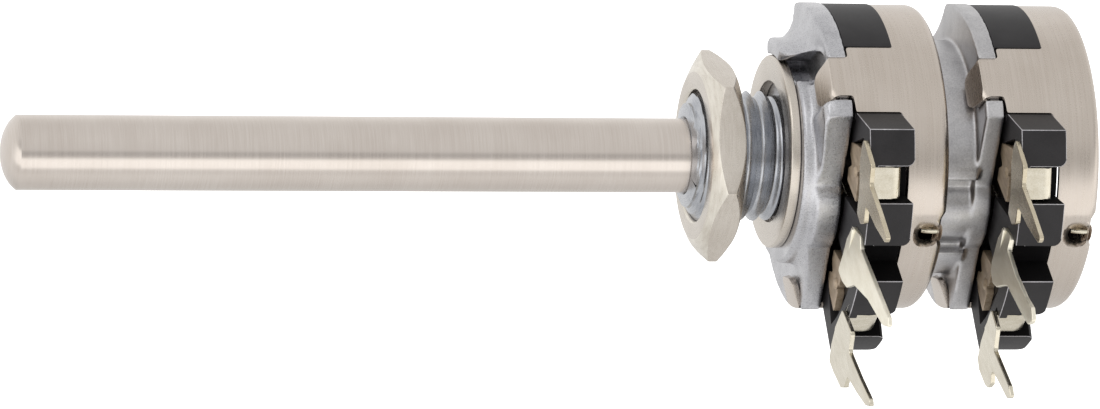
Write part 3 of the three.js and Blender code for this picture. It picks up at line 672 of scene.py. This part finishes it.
def lugSideTool(fromX, slope):
    # what is taken off the side next to the lugs, round the bulge in its middle
    side, far, wide = plate["lugSide"], 9.6, 9.5
    cu, cv, r = plate["pad"]
    reach = math.acos((side - cu) / r)
    bulge = [(cu + u, cv + v) for u, v in arc(r, -reach, reach, 12)]
    outline = [(side, -wide)] + bulge + [(side, wide)]
    return loft([[Vector((x, -(u - lean), v)) for u, v in outline]
                 + [Vector((x, -far, wide)), Vector((x, -far, -wide))]
                 for x, lean in ((fromX, 0), (plate["front"], 0), (plate["rear"] + 0.4, slope * 1.4))])


def flangeSolid():
    front, rear, r, bend = plate["front"], plate["rear"], plate["radius"], plate["scallopRadius"]
    distance = r - plate["scallopDepth"] + bend
    scallops = [pin(sign * plate["scallopAngle"], distance, bend, front - 0.5, rear + 0.5, 64)
                for sign in (1, -1)]
    return cut(disc(r, front, rear, 120), lugSideTool(front - 0.5, plate["lean"]), *scallops)


def finishCasting(gang, body, bore, finish):
    tools = [bore, disc(plate["recess"], plate["recessFloor"], 3, 64)] + tabSlots()
    body = castSurface(cut(body, *tools), plate["voxel"], plate["rounds"], plate["keep"])
    gangPiece(gang, "casting", body, finish, "plate", 60)


def makeFrontCasting():
    root = plate["front"] + overlap
    core = lathe(boss["side"] + [(root, boss["root"]), (root, 0)])
    core = cut(core, sector(*boss["notch"], -1, plate["front"] - sliver))
    horn = sectorOfProfile(hornSide, nub["from"], nub["to"], 1.0)
    cone = sectorOfProfile(skirtSide, skirt["from"], skirt["to"])
    cone = cut(cone, lugSideTool(-1, plate["lean"]))
    body = join(flangeSolid(), core, horn, cone)
    finishCasting(0, body, disc(boss["bore"], -1, 3, 48), zincFinish)


spacer = {
    "front": -0.86, "radius": 6.3, "spigot": 3.6, "spigotLength": 0.42, "gapFloor": 5.2,
    "gapHalf": 2.3, "pad": (4.2, -0.19, 1.95)}


def makeRearCasting():
    front, rear = spacer["front"], plate["front"]
    ring = disc(spacer["radius"], front, rear + overlap)
    ring = cut(ring, bar(0, spacer["gapFloor"], 9, spacer["gapHalf"], front - 1, rear + 1))
    spigot = disc(spacer["spigot"], front - spacer["spigotLength"], front + overlap)
    pad = prism(circle(*spacer["pad"], 48), front, rear + overlap)
    body = join(flangeSolid(), ring, spigot, pad)
    finishCasting(1, body, disc(bushing["bore"], -3, 3, 48), rearZincShadedFinish)


makeFrontCasting()
makeRearCasting()
print("castings made")

# a can is cut flat, wrapped round its profile and given its thickness
can = {
    "radius": 8.2, "wall": 0.3, "front": 2.2, "rear": 7.4, "corner": 0.5, "hole": 3.65, "seam": -105,
    "lugHalf": 50.3, "lugRear": 5.1, "lugDrop": 0.36, "window": (78.4, 131.6), "windowRear": 4.72,
    "rows": [-0.35, 0.0, 0.35, 0.7, 0.95, 1.08, 1.2, 1.5, 1.85, 2.3, 2.9, 3.6, 4.3, 4.95, 5.45, 6.0,
             6.5],
    "backRows": [8.3, 9.2, 10.2, 11.0], "columns": 120, "reach": 0.4, "clear": 0.14, "edge": 0.08,
    "edgeSharp": 50}
# rings: middle, angle, half sizes along and across, and how far they are pressed in
latch = {
    "rings": [(6.37, 3.6, 0.74, 0.86, 0), (6.42, 2.8, 0.6, 0.66, 0.2), (6.5, 1.4, 0.42, 0.4, 0.52)],
    "corner": 2.4, "ringSteps": 32, "dent": 0.2, "dentFrom": 7.0, "dentFade": 0.2, "dentSide": 3.6,
    "top": 8.6, "tongue": (4.7, 3.0), "tongueRoot": 7.06, "tongueTip": 6.2, "tongueFall": 0.3,
    "tongueSink": 0.12, "tongueBow": 0.05, "tongueLean": 0.8, "tongueThick": 0.22}


def canProfile(s):
    # the outer surface, from the tab's tip over the wall to the hole in the back
    r, corner, bend = can["radius"], can["corner"], tabs["bend"]
    if s < bend:
        fold = Vector((tabs["tip"] - bend, tabs["inner"] - r))
        return bend + fold.x * (bend - s) / fold.length, r + fold.y * (bend - s) / fold.length
    wallEnd = can["rear"] - corner
    if s <= wallEnd:
        return s, r
    if s <= wallEnd + corner * math.pi / 2:
        angle = (s - wallEnd) / corner
        return wallEnd + corner * math.sin(angle), r - corner + corner * math.cos(angle)
    return can["rear"], r - corner - (s - wallEnd - corner * math.pi / 2)


def tabOutline(angle, rootA, rootB):
    # the tab's edge from its lower to its higher side, in degrees, millimetres and rounding
    low, high, tip, waist = angle - tabs["half"], angle + tabs["half"], tabs["flatTip"], tabs["waist"]
    return [(low + rootA, can["front"], 0.2), (low + rootA, 1.5, 0.2), (low, waist, 0.2),
            (low, tip, tabs["tipRound"]), (high, tip, tabs["tipRound"]), (high, waist, 0.2),
            (high + rootB, 1.4, 0.2), (high + rootB, can["front"], 0.2)]


def canPattern():
    w0, w1 = can["window"]
    front, lugRear, windowRear, seam = (can[key] for key in ("front", "lugRear", "windowRear", "seam"))
    half, drop, scale = can["lugHalf"], can["lugDrop"], can["radius"] * degree
    high, middle, low = tabs["angles"]
    corners = [
        (seam, windowRear, 0), (-w0, windowRear, 0.1), (-w0, front, 0.2), *tabOutline(low, 0, 0),
        (-half, front, 0.12), (-half, lugRear - drop, 0.2), (5 - half, lugRear, 0.3),
        (half - 5, lugRear, 0.3), (half, lugRear - drop, 0.2), (half, front + 0.1, 0.12),
        *tabOutline(high, 1.4, 0.8), (w0, front, 0.2), (w0, windowRear, 0.1), (w1, windowRear, 0.1),
        (w1, front, 0.2), *tabOutline(middle, 0, 0), (360 - w1, front, 0.2),
        (360 - w1, windowRear, 0.1), (360 + seam, windowRear, 0)]
    line = roundedLoop([(a * scale, s) for a, s, r in corners], [r for a, s, r in corners], 4, False)
    # points no further apart than the reach, so that the edge follows the curve
    done, reach = [line[0]], can["reach"]
    for (x0, y0), (x1, y1) in zip(line, line[1:]):
        n = max(1, math.ceil(math.hypot(x1 - x0, y1 - y0) / reach))
        done += [(x0 + (x1 - x0) * k / n, y0 + (y1 - y0) * k / n) for k in range(1, n + 1)]
    return done


def inside(point, loop):
    (x, y), hit = point, False
    for (x0, y0), (x1, y1) in zip(loop, loop[1:] + loop[:1]):
        if (y0 > y) != (y1 > y) and x < (x1 - x0) * (y - y0) / (y1 - y0) + x0:
            hit = not hit
    return hit


def canSheet():
    # the flat pattern's points, the edges that the faces must keep, and the latch's rings
    scale = can["radius"] * degree
    start, width, columns = can["seam"] * scale, 360 * scale, can["columns"]
    bendFrom, bend = can["rear"] - can["corner"], can["corner"] * math.pi / 2
    last = bendFrom + bend + can["radius"] - can["corner"] - can["hole"]
    rows = can["rows"] + [bendFrom + bend * k / 6 for k in range(7)] + can["backRows"]
    wallRows = [s for s in rows if s > can["windowRear"] + 0.1]
    outline = canPattern() + [(start + width, s) for s in wallRows]
    outline += [(start + width * i / columns, last) for i in range(columns, -1, -1)]
    outline += [(start, s) for s in reversed(wallRows)]
    dimple, slope, hole = (latchRing(*ring[:4]) for ring in latch["rings"])
    points = outline + hole
    edges = []
    for first, loop in ((0, outline), (len(outline), hole)):
        edges += [(first + i, first + (i + 1) % len(loop)) for i in range(len(loop))]
    points += dimple + slope
    fence, clear = list(points), can["clear"]
    for a in (start + width * i / columns for i in range(1, columns)):
        for s in rows:
            near = any(abs(x - a) < clear and abs(y - s) < clear for x, y in fence)
            if inside((a, s), outline) and not inside((a, s), dimple) and not near:
                points.append((a, s))
    return points, edges, outline, slope, hole


def canMesh():
    points, edges, outline, slope, hole = canSheet()
    verts, _, faces = delaunay_2d_cdt([Vector(p) for p in points], edges, [], 0, 1e-5)[:3]
    kept = []
    for face in faces:
        middle = sum((verts[i] for i in face), Vector((0, 0))) / len(face)
        if inside(middle, outline) and not inside(middle, hole):
            kept.append(list(face))
    sunk = {(round(x, 4), round(y, 4)): latch["rings"][k][4]
            for k, ring in ((1, slope), (2, hole)) for x, y in ring}
    wrapped = []
    for p in verts:
        x, r = canProfile(p.y)
        angle = p.x / (can["radius"] * degree)
        pressed = sunk.get((round(p.x, 4), round(p.y, 4)), 0)
        wrapped.append(polar(x - dent(x, angle), r - pressed, angle * degree))
    mesh = bpy.data.meshes.new("work")
    mesh.from_pydata([tuple(p) for p in wrapped], [], kept)
    with opened(mesh, 2e-3) as bm:
        bmesh.ops.delete(bm, geom=[v for v in bm.verts if not v.link_faces], context="VERTS")
        bmesh.ops.recalc_face_normals(bm, faces=bm.faces)
        if max(bm.faces, key=lambda face: face.calc_center_median().x).normal.x < 0:
            bmesh.ops.reverse_faces(bm, faces=bm.faces)
    for _ in range(2):
        mesh.materials.append(None)
    shell = worked(mesh, ("SOLIDIFY", {"thickness": can["wall"], "offset": -1, "use_even_offset": True}),
                   ("BEVEL", {"width": can["edge"], "segments": 3, "limit_method": "ANGLE",
                              "angle_limit": can["edgeSharp"] * degree, "material": 1}))
    # only the edges at the tabs and the front keep the pale edge finish, a painted highlight
    for face in shell.polygons:
        if face.center.x > can["front"]:
            face.material_index = 0
    return shell


def latchRing(x, angle, a, b):
    # a rounded ring on the flat pattern: its middle and its half sizes along and across
    power, middle = 2 / latch["corner"], angle * can["radius"] * degree
    return [(middle + b * math.copysign(abs(c) ** power, c), x + a * math.copysign(abs(s) ** power, s))
            for s, c in circle(0, 0, 1, latch["ringSteps"])]


def dent(x, angle):
    # the back corner is pressed in beside the latch
    side = latch["dentSide"]
    near = held((x - latch["dentFrom"]) / latch["dentFade"])
    across = held(min(angle + side, latch["top"] + side - angle) / side)
    return latch["dent"] * near * eased(across)


def latchTongue():
    # the narrow tongue left across it, bent inwards from the back edge
    top, bottom = latch["tongue"]
    root, tip, thick = latch["tongueRoot"], latch["tongueTip"], latch["tongueThick"]
    rings = []
    for t in (k / 8 for k in range(9)):
        r = can["radius"] - latch["tongueSink"] - latch["tongueFall"] * t ** 1.6
        line = [(r - latch["tongueBow"] * side * side,
                 (top + bottom) / 2 + (top - bottom) / 2 * side - latch["tongueLean"] * t)
                for side in (-1, -0.5, 0, 0.5, 1)]
        line += [(r - thick, angle) for r, angle in reversed(line)]
        rings.append([polar(root - (root - tip) * t, r, angle * degree) for r, angle in line])
    return loft(rings)


def makeCans():
    shell, tongue = canMesh(), latchTongue()
    for gang in range(2):
        gangPiece(gang, "can_shell", shell, [canFinish, canEdgeHighlight], "can", 40)
        gangPiece(gang, "latch_tongue", tongue, lugFinish)


makeCans()
print("cans made")

housing = {
    "front": 2.3, "rear": 4.75, "outer": 7.85, "inner": 7.0, "pad": 8.24, "padFront": 2.12,
    "padRear": 4.76, "padSpan": (78.8, 131.2), "block": 10.7, "top": 41.3, "bottom": -42.6,
    "root": 49.8, "web": 0.45, "hole": 5.9, "slotOuter": 9.4, "slotSpan": (12.4, 39.6),
    "lugSlots": [(20.2, 30.8), (-4.6, 7.4), (-30.5, -18.3)], "slotFloor": 8.95, "pocket": 8.5,
    "pocketHalf": 43, "pocketRear": 3.99, "boardFront": 2.77, "stopHalf": 14.5, "stopInner": 6.35,
    "stopRear": 5.15, "edge": 0.035, "roundedLow": [30.8, 7.4, -18.3, -42.6], "roundedHigh": [-30.5],
    "cornerRound": 0.42, "litEdgeRadius": 10.35, "litEdgeRoot": (8.4, 38), "litEdgeFacing": (0.05, -0.3), "deep": 8.6,
    "slotMargin": 0.3, "channel": 3.5}
strap = {"radius": 10.0, "middle": 8.75, "low": 10.2, "half": 0.85, "angles": [25.7, 2.7, -24.8],
         "rear": 4.32, "middleFront": 2.5, "middleRear": 2.75, "middleInner": 2.8,
         "middleRoot": 3.5, "middleFloor": 2.46, "room": 0.05}
lug = {"front": 2.0, "rear": 2.25, "thick": 0.25, "footFront": 3.51, "footRear": 3.79,
       "footInner": 7.1, "footHalf": 7, "tongue": 8.4, "twist": 6, "edge": 0.045}


def cornerTool(angle, side):
    # rounds the rear corner of a block whose edge runs outwards at this angle
    rear, size, outer = housing["rear"], housing["cornerRound"], angle - side * 0.4
    turn = side * size / housing["block"] / degree
    outline = [(rear + overlap, outer), (rear - size, outer)]
    outline += [(rear - size + size * math.sin(a), angle + turn * (1 - math.cos(a)))
                for a in (k / 6 * math.pi / 2 for k in range(7))]
    outline.append((rear + overlap, angle + turn))
    return radialPrism(outline, housing["slotFloor"] - overlap, housing["block"] + 0.6)


def bothSides(span):
    # a span of angles above the lugs' middle, and the same one below it
    return span, (-span[1], -span[0])


def makeHousings():
    h, room, past = housing, strap["room"], housing["block"] + 1
    front, rear, inner, boardFront = h["front"], h["rear"], h["inner"], h["boardFront"]
    web, pocketRear, slotFloor = front + h["web"], h["pocketRear"], h["slotFloor"]
    low, high = arc(can["radius"], -h["root"] * degree, h["root"] * degree, 1)
    block = [low] + arc(h["block"], h["bottom"] * degree, h["top"] * degree, 36) + [high]
    body = lathe([(front, inner), (front, h["outer"]), (rear, h["outer"]), (rear, inner)], 120)
    pads = [sector(inner, h["pad"], a0, a1, h["padFront"], h["padRear"], 2.0)
            for a0, a1 in bothSides(h["padSpan"])]
    stop = sector(h["stopInner"], inner + room, -h["stopHalf"], h["stopHalf"], pocketRear, h["stopRear"])
    tools = [disc(inner, boardFront - sliver, 6), disc(h["hole"], 1, 5),
             sector(inner - 1, h["pocket"], -h["pocketHalf"], h["pocketHalf"], boardFront - sliver,
                    pocketRear)]
    tools += [sector(h["hole"] - room, h["slotOuter"], a0, a1, 1.0, web)
              for a0, a1 in bothSides(h["slotSpan"])]
    tools += [sector(slotFloor, past, a0, a1, web, rear + 1) for a0, a1 in h["lugSlots"]]
    outerRuns = [(strap["radius"] - room, past, 1, web + sliver),
                 (lug["tongue"], slotFloor + room, h["channel"], pocketRear)]
    runs = [(i, *run) for i in (0, 2) for run in outerRuns]
    runs += [(1, strap["middle"] - room, past, 1, boardFront),
             (1, strap["middleRoot"], strap["middle"], strap["middleFloor"], boardFront)]
    tools += [bar(strap["angles"][i], r0, r1, strap["half"] + room, x0, x1)
              for i, r0, r1, x0, x1 in runs]
    tools += [cornerTool(a, 1) for a in h["roundedLow"]] + [cornerTool(a, -1) for a in h["roundedHigh"]]
    body = cut(join(body, prism(block, front, rear), *pads), *tools)
    body = softened(join(body, stop), h["edge"], edgeSlot=1)
    # bevelled edges near the outside that face up or towards the front take the pale finish: a painted
    # highlight where they catch the light
    (rootRadius, rootAngle), (litFacingZ, litFacingX), margin = h["litEdgeRoot"], h["litEdgeFacing"], h["slotMargin"]
    for face in body.polygons:
        x, y, z = face.center
        r, angle = math.hypot(y, z), math.atan2(z, -y) / degree
        catchesLight = face.normal.z > litFacingZ or face.normal.x < litFacingX
        if not catchesLight or not (r > h["litEdgeRadius"] or (angle > rootAngle and r > rootRadius)):
            face.material_index = 0
        # faces deep in the lug slots take the near-black finish: painted shade where the slots fall into
        # shadow
        inSlot = any(a0 - margin < angle < a1 + margin for a0, a1 in h["lugSlots"])
        if x > web and h["deep"] < r < h["block"] - 0.1 and inSlot:
            face.material_index = 2
    for gang in range(2):
        gangPiece(gang, "moulding", body, [mouldingFinish, mouldingHighlight, mouldingSlotShade],
                  "housing", 20, True)


makeHousings()
print("housings made")

# the lugs' outlines, with u measured from the outer strap's radius
firstOutline = [
    (-1.85, 6.55), (0.25, 6.25), (0.6, 5.2), (2.95, 5.08), (5.0, 4.88), (4.8, 4.43), (2.65, 4.03),
    (0.5, 3.88), (0.8, 2.93), (0.1, 2.43), (-0.8, 2.53), (-0.95, 3.43), (-1.2, 4.13), (-1.8, 5.03),
    (-1.95, 5.93)]
outlines = {
    "front": [firstOutline,
              [(-1.5, 1.2), (0, 1.6), (0.6, 1.1), (3.7, 1.2), (7.1, 1.3), (7.55, 1), (6.7, 0.5),
               (3.6, 0), (1.1, -0.8), (0.2, -1.6), (-0.7, -1.8), (-1.7, -1.8), (-1.7, -0.7),
               (-1.8, 0.2)],
              [(-0.4, -3.4), (1.9, -3.3), (2, -4.45), (4.6, -4.3), (6.9, -4.05), (7.2, -4.3),
               (6.4, -4.8), (4.5, -5.3), (2.5, -5.7), (2.4, -6.5), (1.7, -7), (0, -7.2), (-1.1, -7.2),
               (-1.2, -6.2), (-1, -4.9)]],
    "rear": [firstOutline,
             [(-1.4, 1.24), (-0.1, 1.5), (-0.05, 0.7), (2, 0.5), (4.2, 0.58), (5.4, 0.75), (6.2, 0.4),
              (5.7, -0.14), (4.8, -0.3), (1.5, -0.6), (0.8, -1.05), (0.1, -1.64), (-0.6, -1.85),
              (-1.3, -1.6), (-1.6, -1.15), (-1.76, 0.3)],
             [(-0.6, -3.5), (0.85, -3.7), (1.1, -5), (4.5, -4.9), (5.2, -5.2), (4.6, -5.65),
              (1.8, -6), (1.4, -6.2), (1.65, -6.85), (1.25, -7.35), (0.65, -7.55), (-0.7, -7.55),
              (-1.3, -7.2), (-1.25, -6), (-0.9, -4.7)]]}
rivets = {
    "angles": [27.5, 2.7, -28.5], "distance": [7.7, 3.5, 7.7], "radius": 0.28, "middleRear": 3.49,
    "head": [(-0.14, 0), (-0.13, 0.16), (-0.09, 0.27), (0, 0.34)],
    "swage": [(0, 0.42), (0.09, 0.34), (0.13, 0.2), (0.14, 0)]}
clip = {
    "front": 2.34, "rear": 2.75, "length": 1.55, "inner": 1.55, "outer": 0.5, "notch": 0.24,
    "corner": 0.45, "waist": 0.3, "bite": (0.62, 1.6), "round": 0.12, "turns": [11, 0, -5],
    "edge": 0.03}


def rivetHole(i):
    return pin(rivets["angles"][i], rivets["distance"][i], rivets["radius"] + sliver, 0, 6)


def lugBlade(outline):
    loop = roundedLoop([(strap["radius"] + u, v) for u, v in outline], 0.3, 4)
    return prism(loop, lug["front"], lug["rear"])


def outerLug(outline, i):
    r, thick, start = strap["low"] if i == 2 else strap["radius"], lug["thick"], housing["slotFloor"]
    front, footFront, footRear, inner = (lug[key] for key in
                                         ("front", "footFront", "footRear", "footInner"))
    side = [(front, r, 0), (front, r + thick, 0), (strap["rear"], r + thick, 0.85),
            (footRear, start, 0.3), (footRear, inner, 0), (footFront, inner, 0),
            (footFront, start + thick, 0.15), (strap["rear"] - thick, r, 0.6)]
    side = roundedLoop([p[:2] for p in side], [p[2] for p in side], 5)
    low, high = (rivets["angles"][i] + turn for turn in (-lug["footHalf"], lug["footHalf"]))
    foot = sector(inner, lug["tongue"], low, high, footFront, footRear)
    body = join(lugBlade(outline), strip(side, strap["angles"][i], strap["half"]), foot)
    return softened(cut(body, rivetHole(i)), lug["edge"])


def middleLug(outline):
    outer, angle, half = strap["middle"] + lug["thick"], strap["angles"][1], strap["half"]
    blade, rear = lugBlade(outline), strap["middleRear"]
    hinge = Matrix.Translation((lug["rear"], 0, 0))
    blade.transform(hinge @ Matrix.Rotation(lug["twist"] * degree, 4, "Y") @ hinge.inverted())
    body = join(blade, bar(angle, strap["middle"], outer, half, lug["front"], rear),
                bar(angle, strap["middleInner"], outer, half, strap["middleFront"], rear))
    return softened(cut(body, rivetHole(1)), lug["edge"])


def rootClip(i):
    _, c, s = polar(0, rivets["distance"][i], rivets["angles"][i] * degree)
    a, b = math.cos(clip["turns"][i] * degree), math.sin(clip["turns"][i] * degree)
    length, notch, corner = clip["length"], clip["notch"], clip["corner"]
    low, high, (deep, wide) = -clip["inner"], clip["outer"], clip["bite"]
    ear = [(low, corner - length), (high, -length), (high, -notch), (high - clip["waist"], 0),
           (high, notch), (high, length), (low, length - corner), (low, notch * wide), (low + deep, 0),
           (low, -notch * wide)]
    loop = roundedLoop([(r * a - t * b - c, s + r * b + t * a) for r, t in ear], clip["round"], 3)
    return softened(cut(prism(loop, clip["front"], clip["rear"]), rivetHole(i)), clip["edge"])


def rivetBody(i):
    front, rear = clip["front"] - 0.01, (rivets["middleRear"] if i == 1 else lug["footRear"]) + 0.01
    body = lathe([(front + x, r) for x, r in rivets["head"]]
                 + [(x, rivets["radius"]) for x in (front, rear)]
                 + [(rear + x, r) for x, r in rivets["swage"]], 24)
    body.transform(Matrix.Translation(polar(0, rivets["distance"][i], rivets["angles"][i] * degree)))
    return body


def makeLugs():
    for gang, name in enumerate(gangNames):
        for i in range(3):
            shape = middleLug(outlines[name][1]) if i == 1 else outerLug(outlines[name][i], i)
            for face in shape.polygons:
                face.material_index = 1 if face.center.x > lug["rear"] + 0.1 else 0
            gangPiece(gang, f"lug_{i + 1}", shape, [lugLitAndShadedFinishes[i], lugFinish],
                      f"solder_lug_{i + 1}", 20, True)
            gangPiece(gang, f"rivet_{i + 1}_body", rivetBody(i), clipFinish,
                      f"rivet_{i + 1}", 35)
            if i != 1:
                gangPiece(gang, f"clip_{i + 1}", rootClip(i), clipFinish,
                          f"root_clip_{i + 1}", 20, True)


makeLugs()
print("lugs, clips and rivets made")

# CAD nodes that stay, with their own finishes
kept = {"element_board": boardFinish, "carbon_track": carbonFinish, "collector_ring": silverFinish,
        "rotor": mouldingFinish, "wiper": bronzeFinish, "snap_ring": steelFinish}


def dressKept():
    for gang in gangNames:
        for part, finish in kept.items():
            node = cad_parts[f"{gang}_{part}"]
            node.data.materials.clear()
            node.data.materials.append(finish)
            for slotPlace in node.material_slots:
                slotPlace.material = finish


dressKept()

studio = {
    "floor": -45.0, "floorRadius": 400.0, "warmth": (1.0, 0.994, 0.985),
    "white": (1.05, 1.05, 1.05, 1), "lamp": (-0.25, -0.1, 0.5), "lampSize": 0.35, "lampPower": 0.35,
    "paint": {"Base Color": (0.8, 0.8, 0.8, 1), "Roughness": 0.9, "Emission Color": (1, 1, 1, 1),
              "Emission Strength": 1.05}}
# brightness by elevation in degrees, towards the viewer's side and behind the object
frontSky = [
    (-90, 0.80), (-60, 0.90), (-40, 0.97), (-27, 0.88), (-18, 0.98), (-13, 1.46), (12, 1.48),
    (19, 0.76), (27, 0.60), (33, 0.60), (40, 0.84), (90, 0.86)]
rearSky = [
    (-90, 0.80), (-60, 0.76), (-42, 0.90), (-25, 1.00), (0, 1.0), (15, 1.0), (30, 0.92), (50, 0.86),
    (90, 0.86)]


def makeStudio():
    rim = [(u, v, studio["floor"]) for u, v in circle(0, 0, studio["floorRadius"], 64)]
    mesh = meshOf(rim, [list(range(64))])
    mesh.transform(Matrix.Scale(mm, 4))
    mesh.materials.append(Finish("paleFloor", studio["paint"]).material)
    floor = added("studio_floor", mesh)
    floor.visible_glossy = floor.visible_diffuse = floor.visible_shadow = False


def makeSky():
    scene.world = bpy.data.worlds.new("studioSky")
    scene.world.use_nodes = True
    sky = Nodes(scene.world.node_tree)
    _, across, up = sky.parts(sky.node("TexCoord", {}, {}, "Generated"))
    height = sky.node("MapRange", {}, {"Value": up, "From Min": -1})
    ramps = []
    for stops in (rearSky, frontSky):
        colours = [((math.sin(e * degree) + 1) / 2, [value * tint for tint in studio["warmth"]] + [1])
                   for e, value in stops]
        ramps.append(sky.node("ValToRGB", {"stops": colours}, {0: height}))
    side = sky.node("MapRange", {"interpolation_type": "SMOOTHSTEP"},
                    {"Value": across, "From Min": 0.25, "From Max": -0.25})
    seen = sky.node("LightPath", {}, {}, "Is Camera Ray")
    both = sky.blend(seen, sky.blend(side, *ramps), studio["white"])
    sky.links.new(both.socket, sky.nodes["Background"].inputs["Color"])


def makeLight():
    data = bpy.data.lights.new("keyLight", "AREA")
    data.size, data.energy = studio["lampSize"], studio["lampPower"]
    lamp = added("keyLight", data)
    lamp.location = studio["lamp"]
    lamp.rotation_euler = (-lamp.location).to_track_quat("-Z", "Y").to_euler()


makeStudio()
makeSky()
makeLight()
scene.view_settings.view_transform = "Standard"
scene.view_settings.look = "None"
print("studio made")
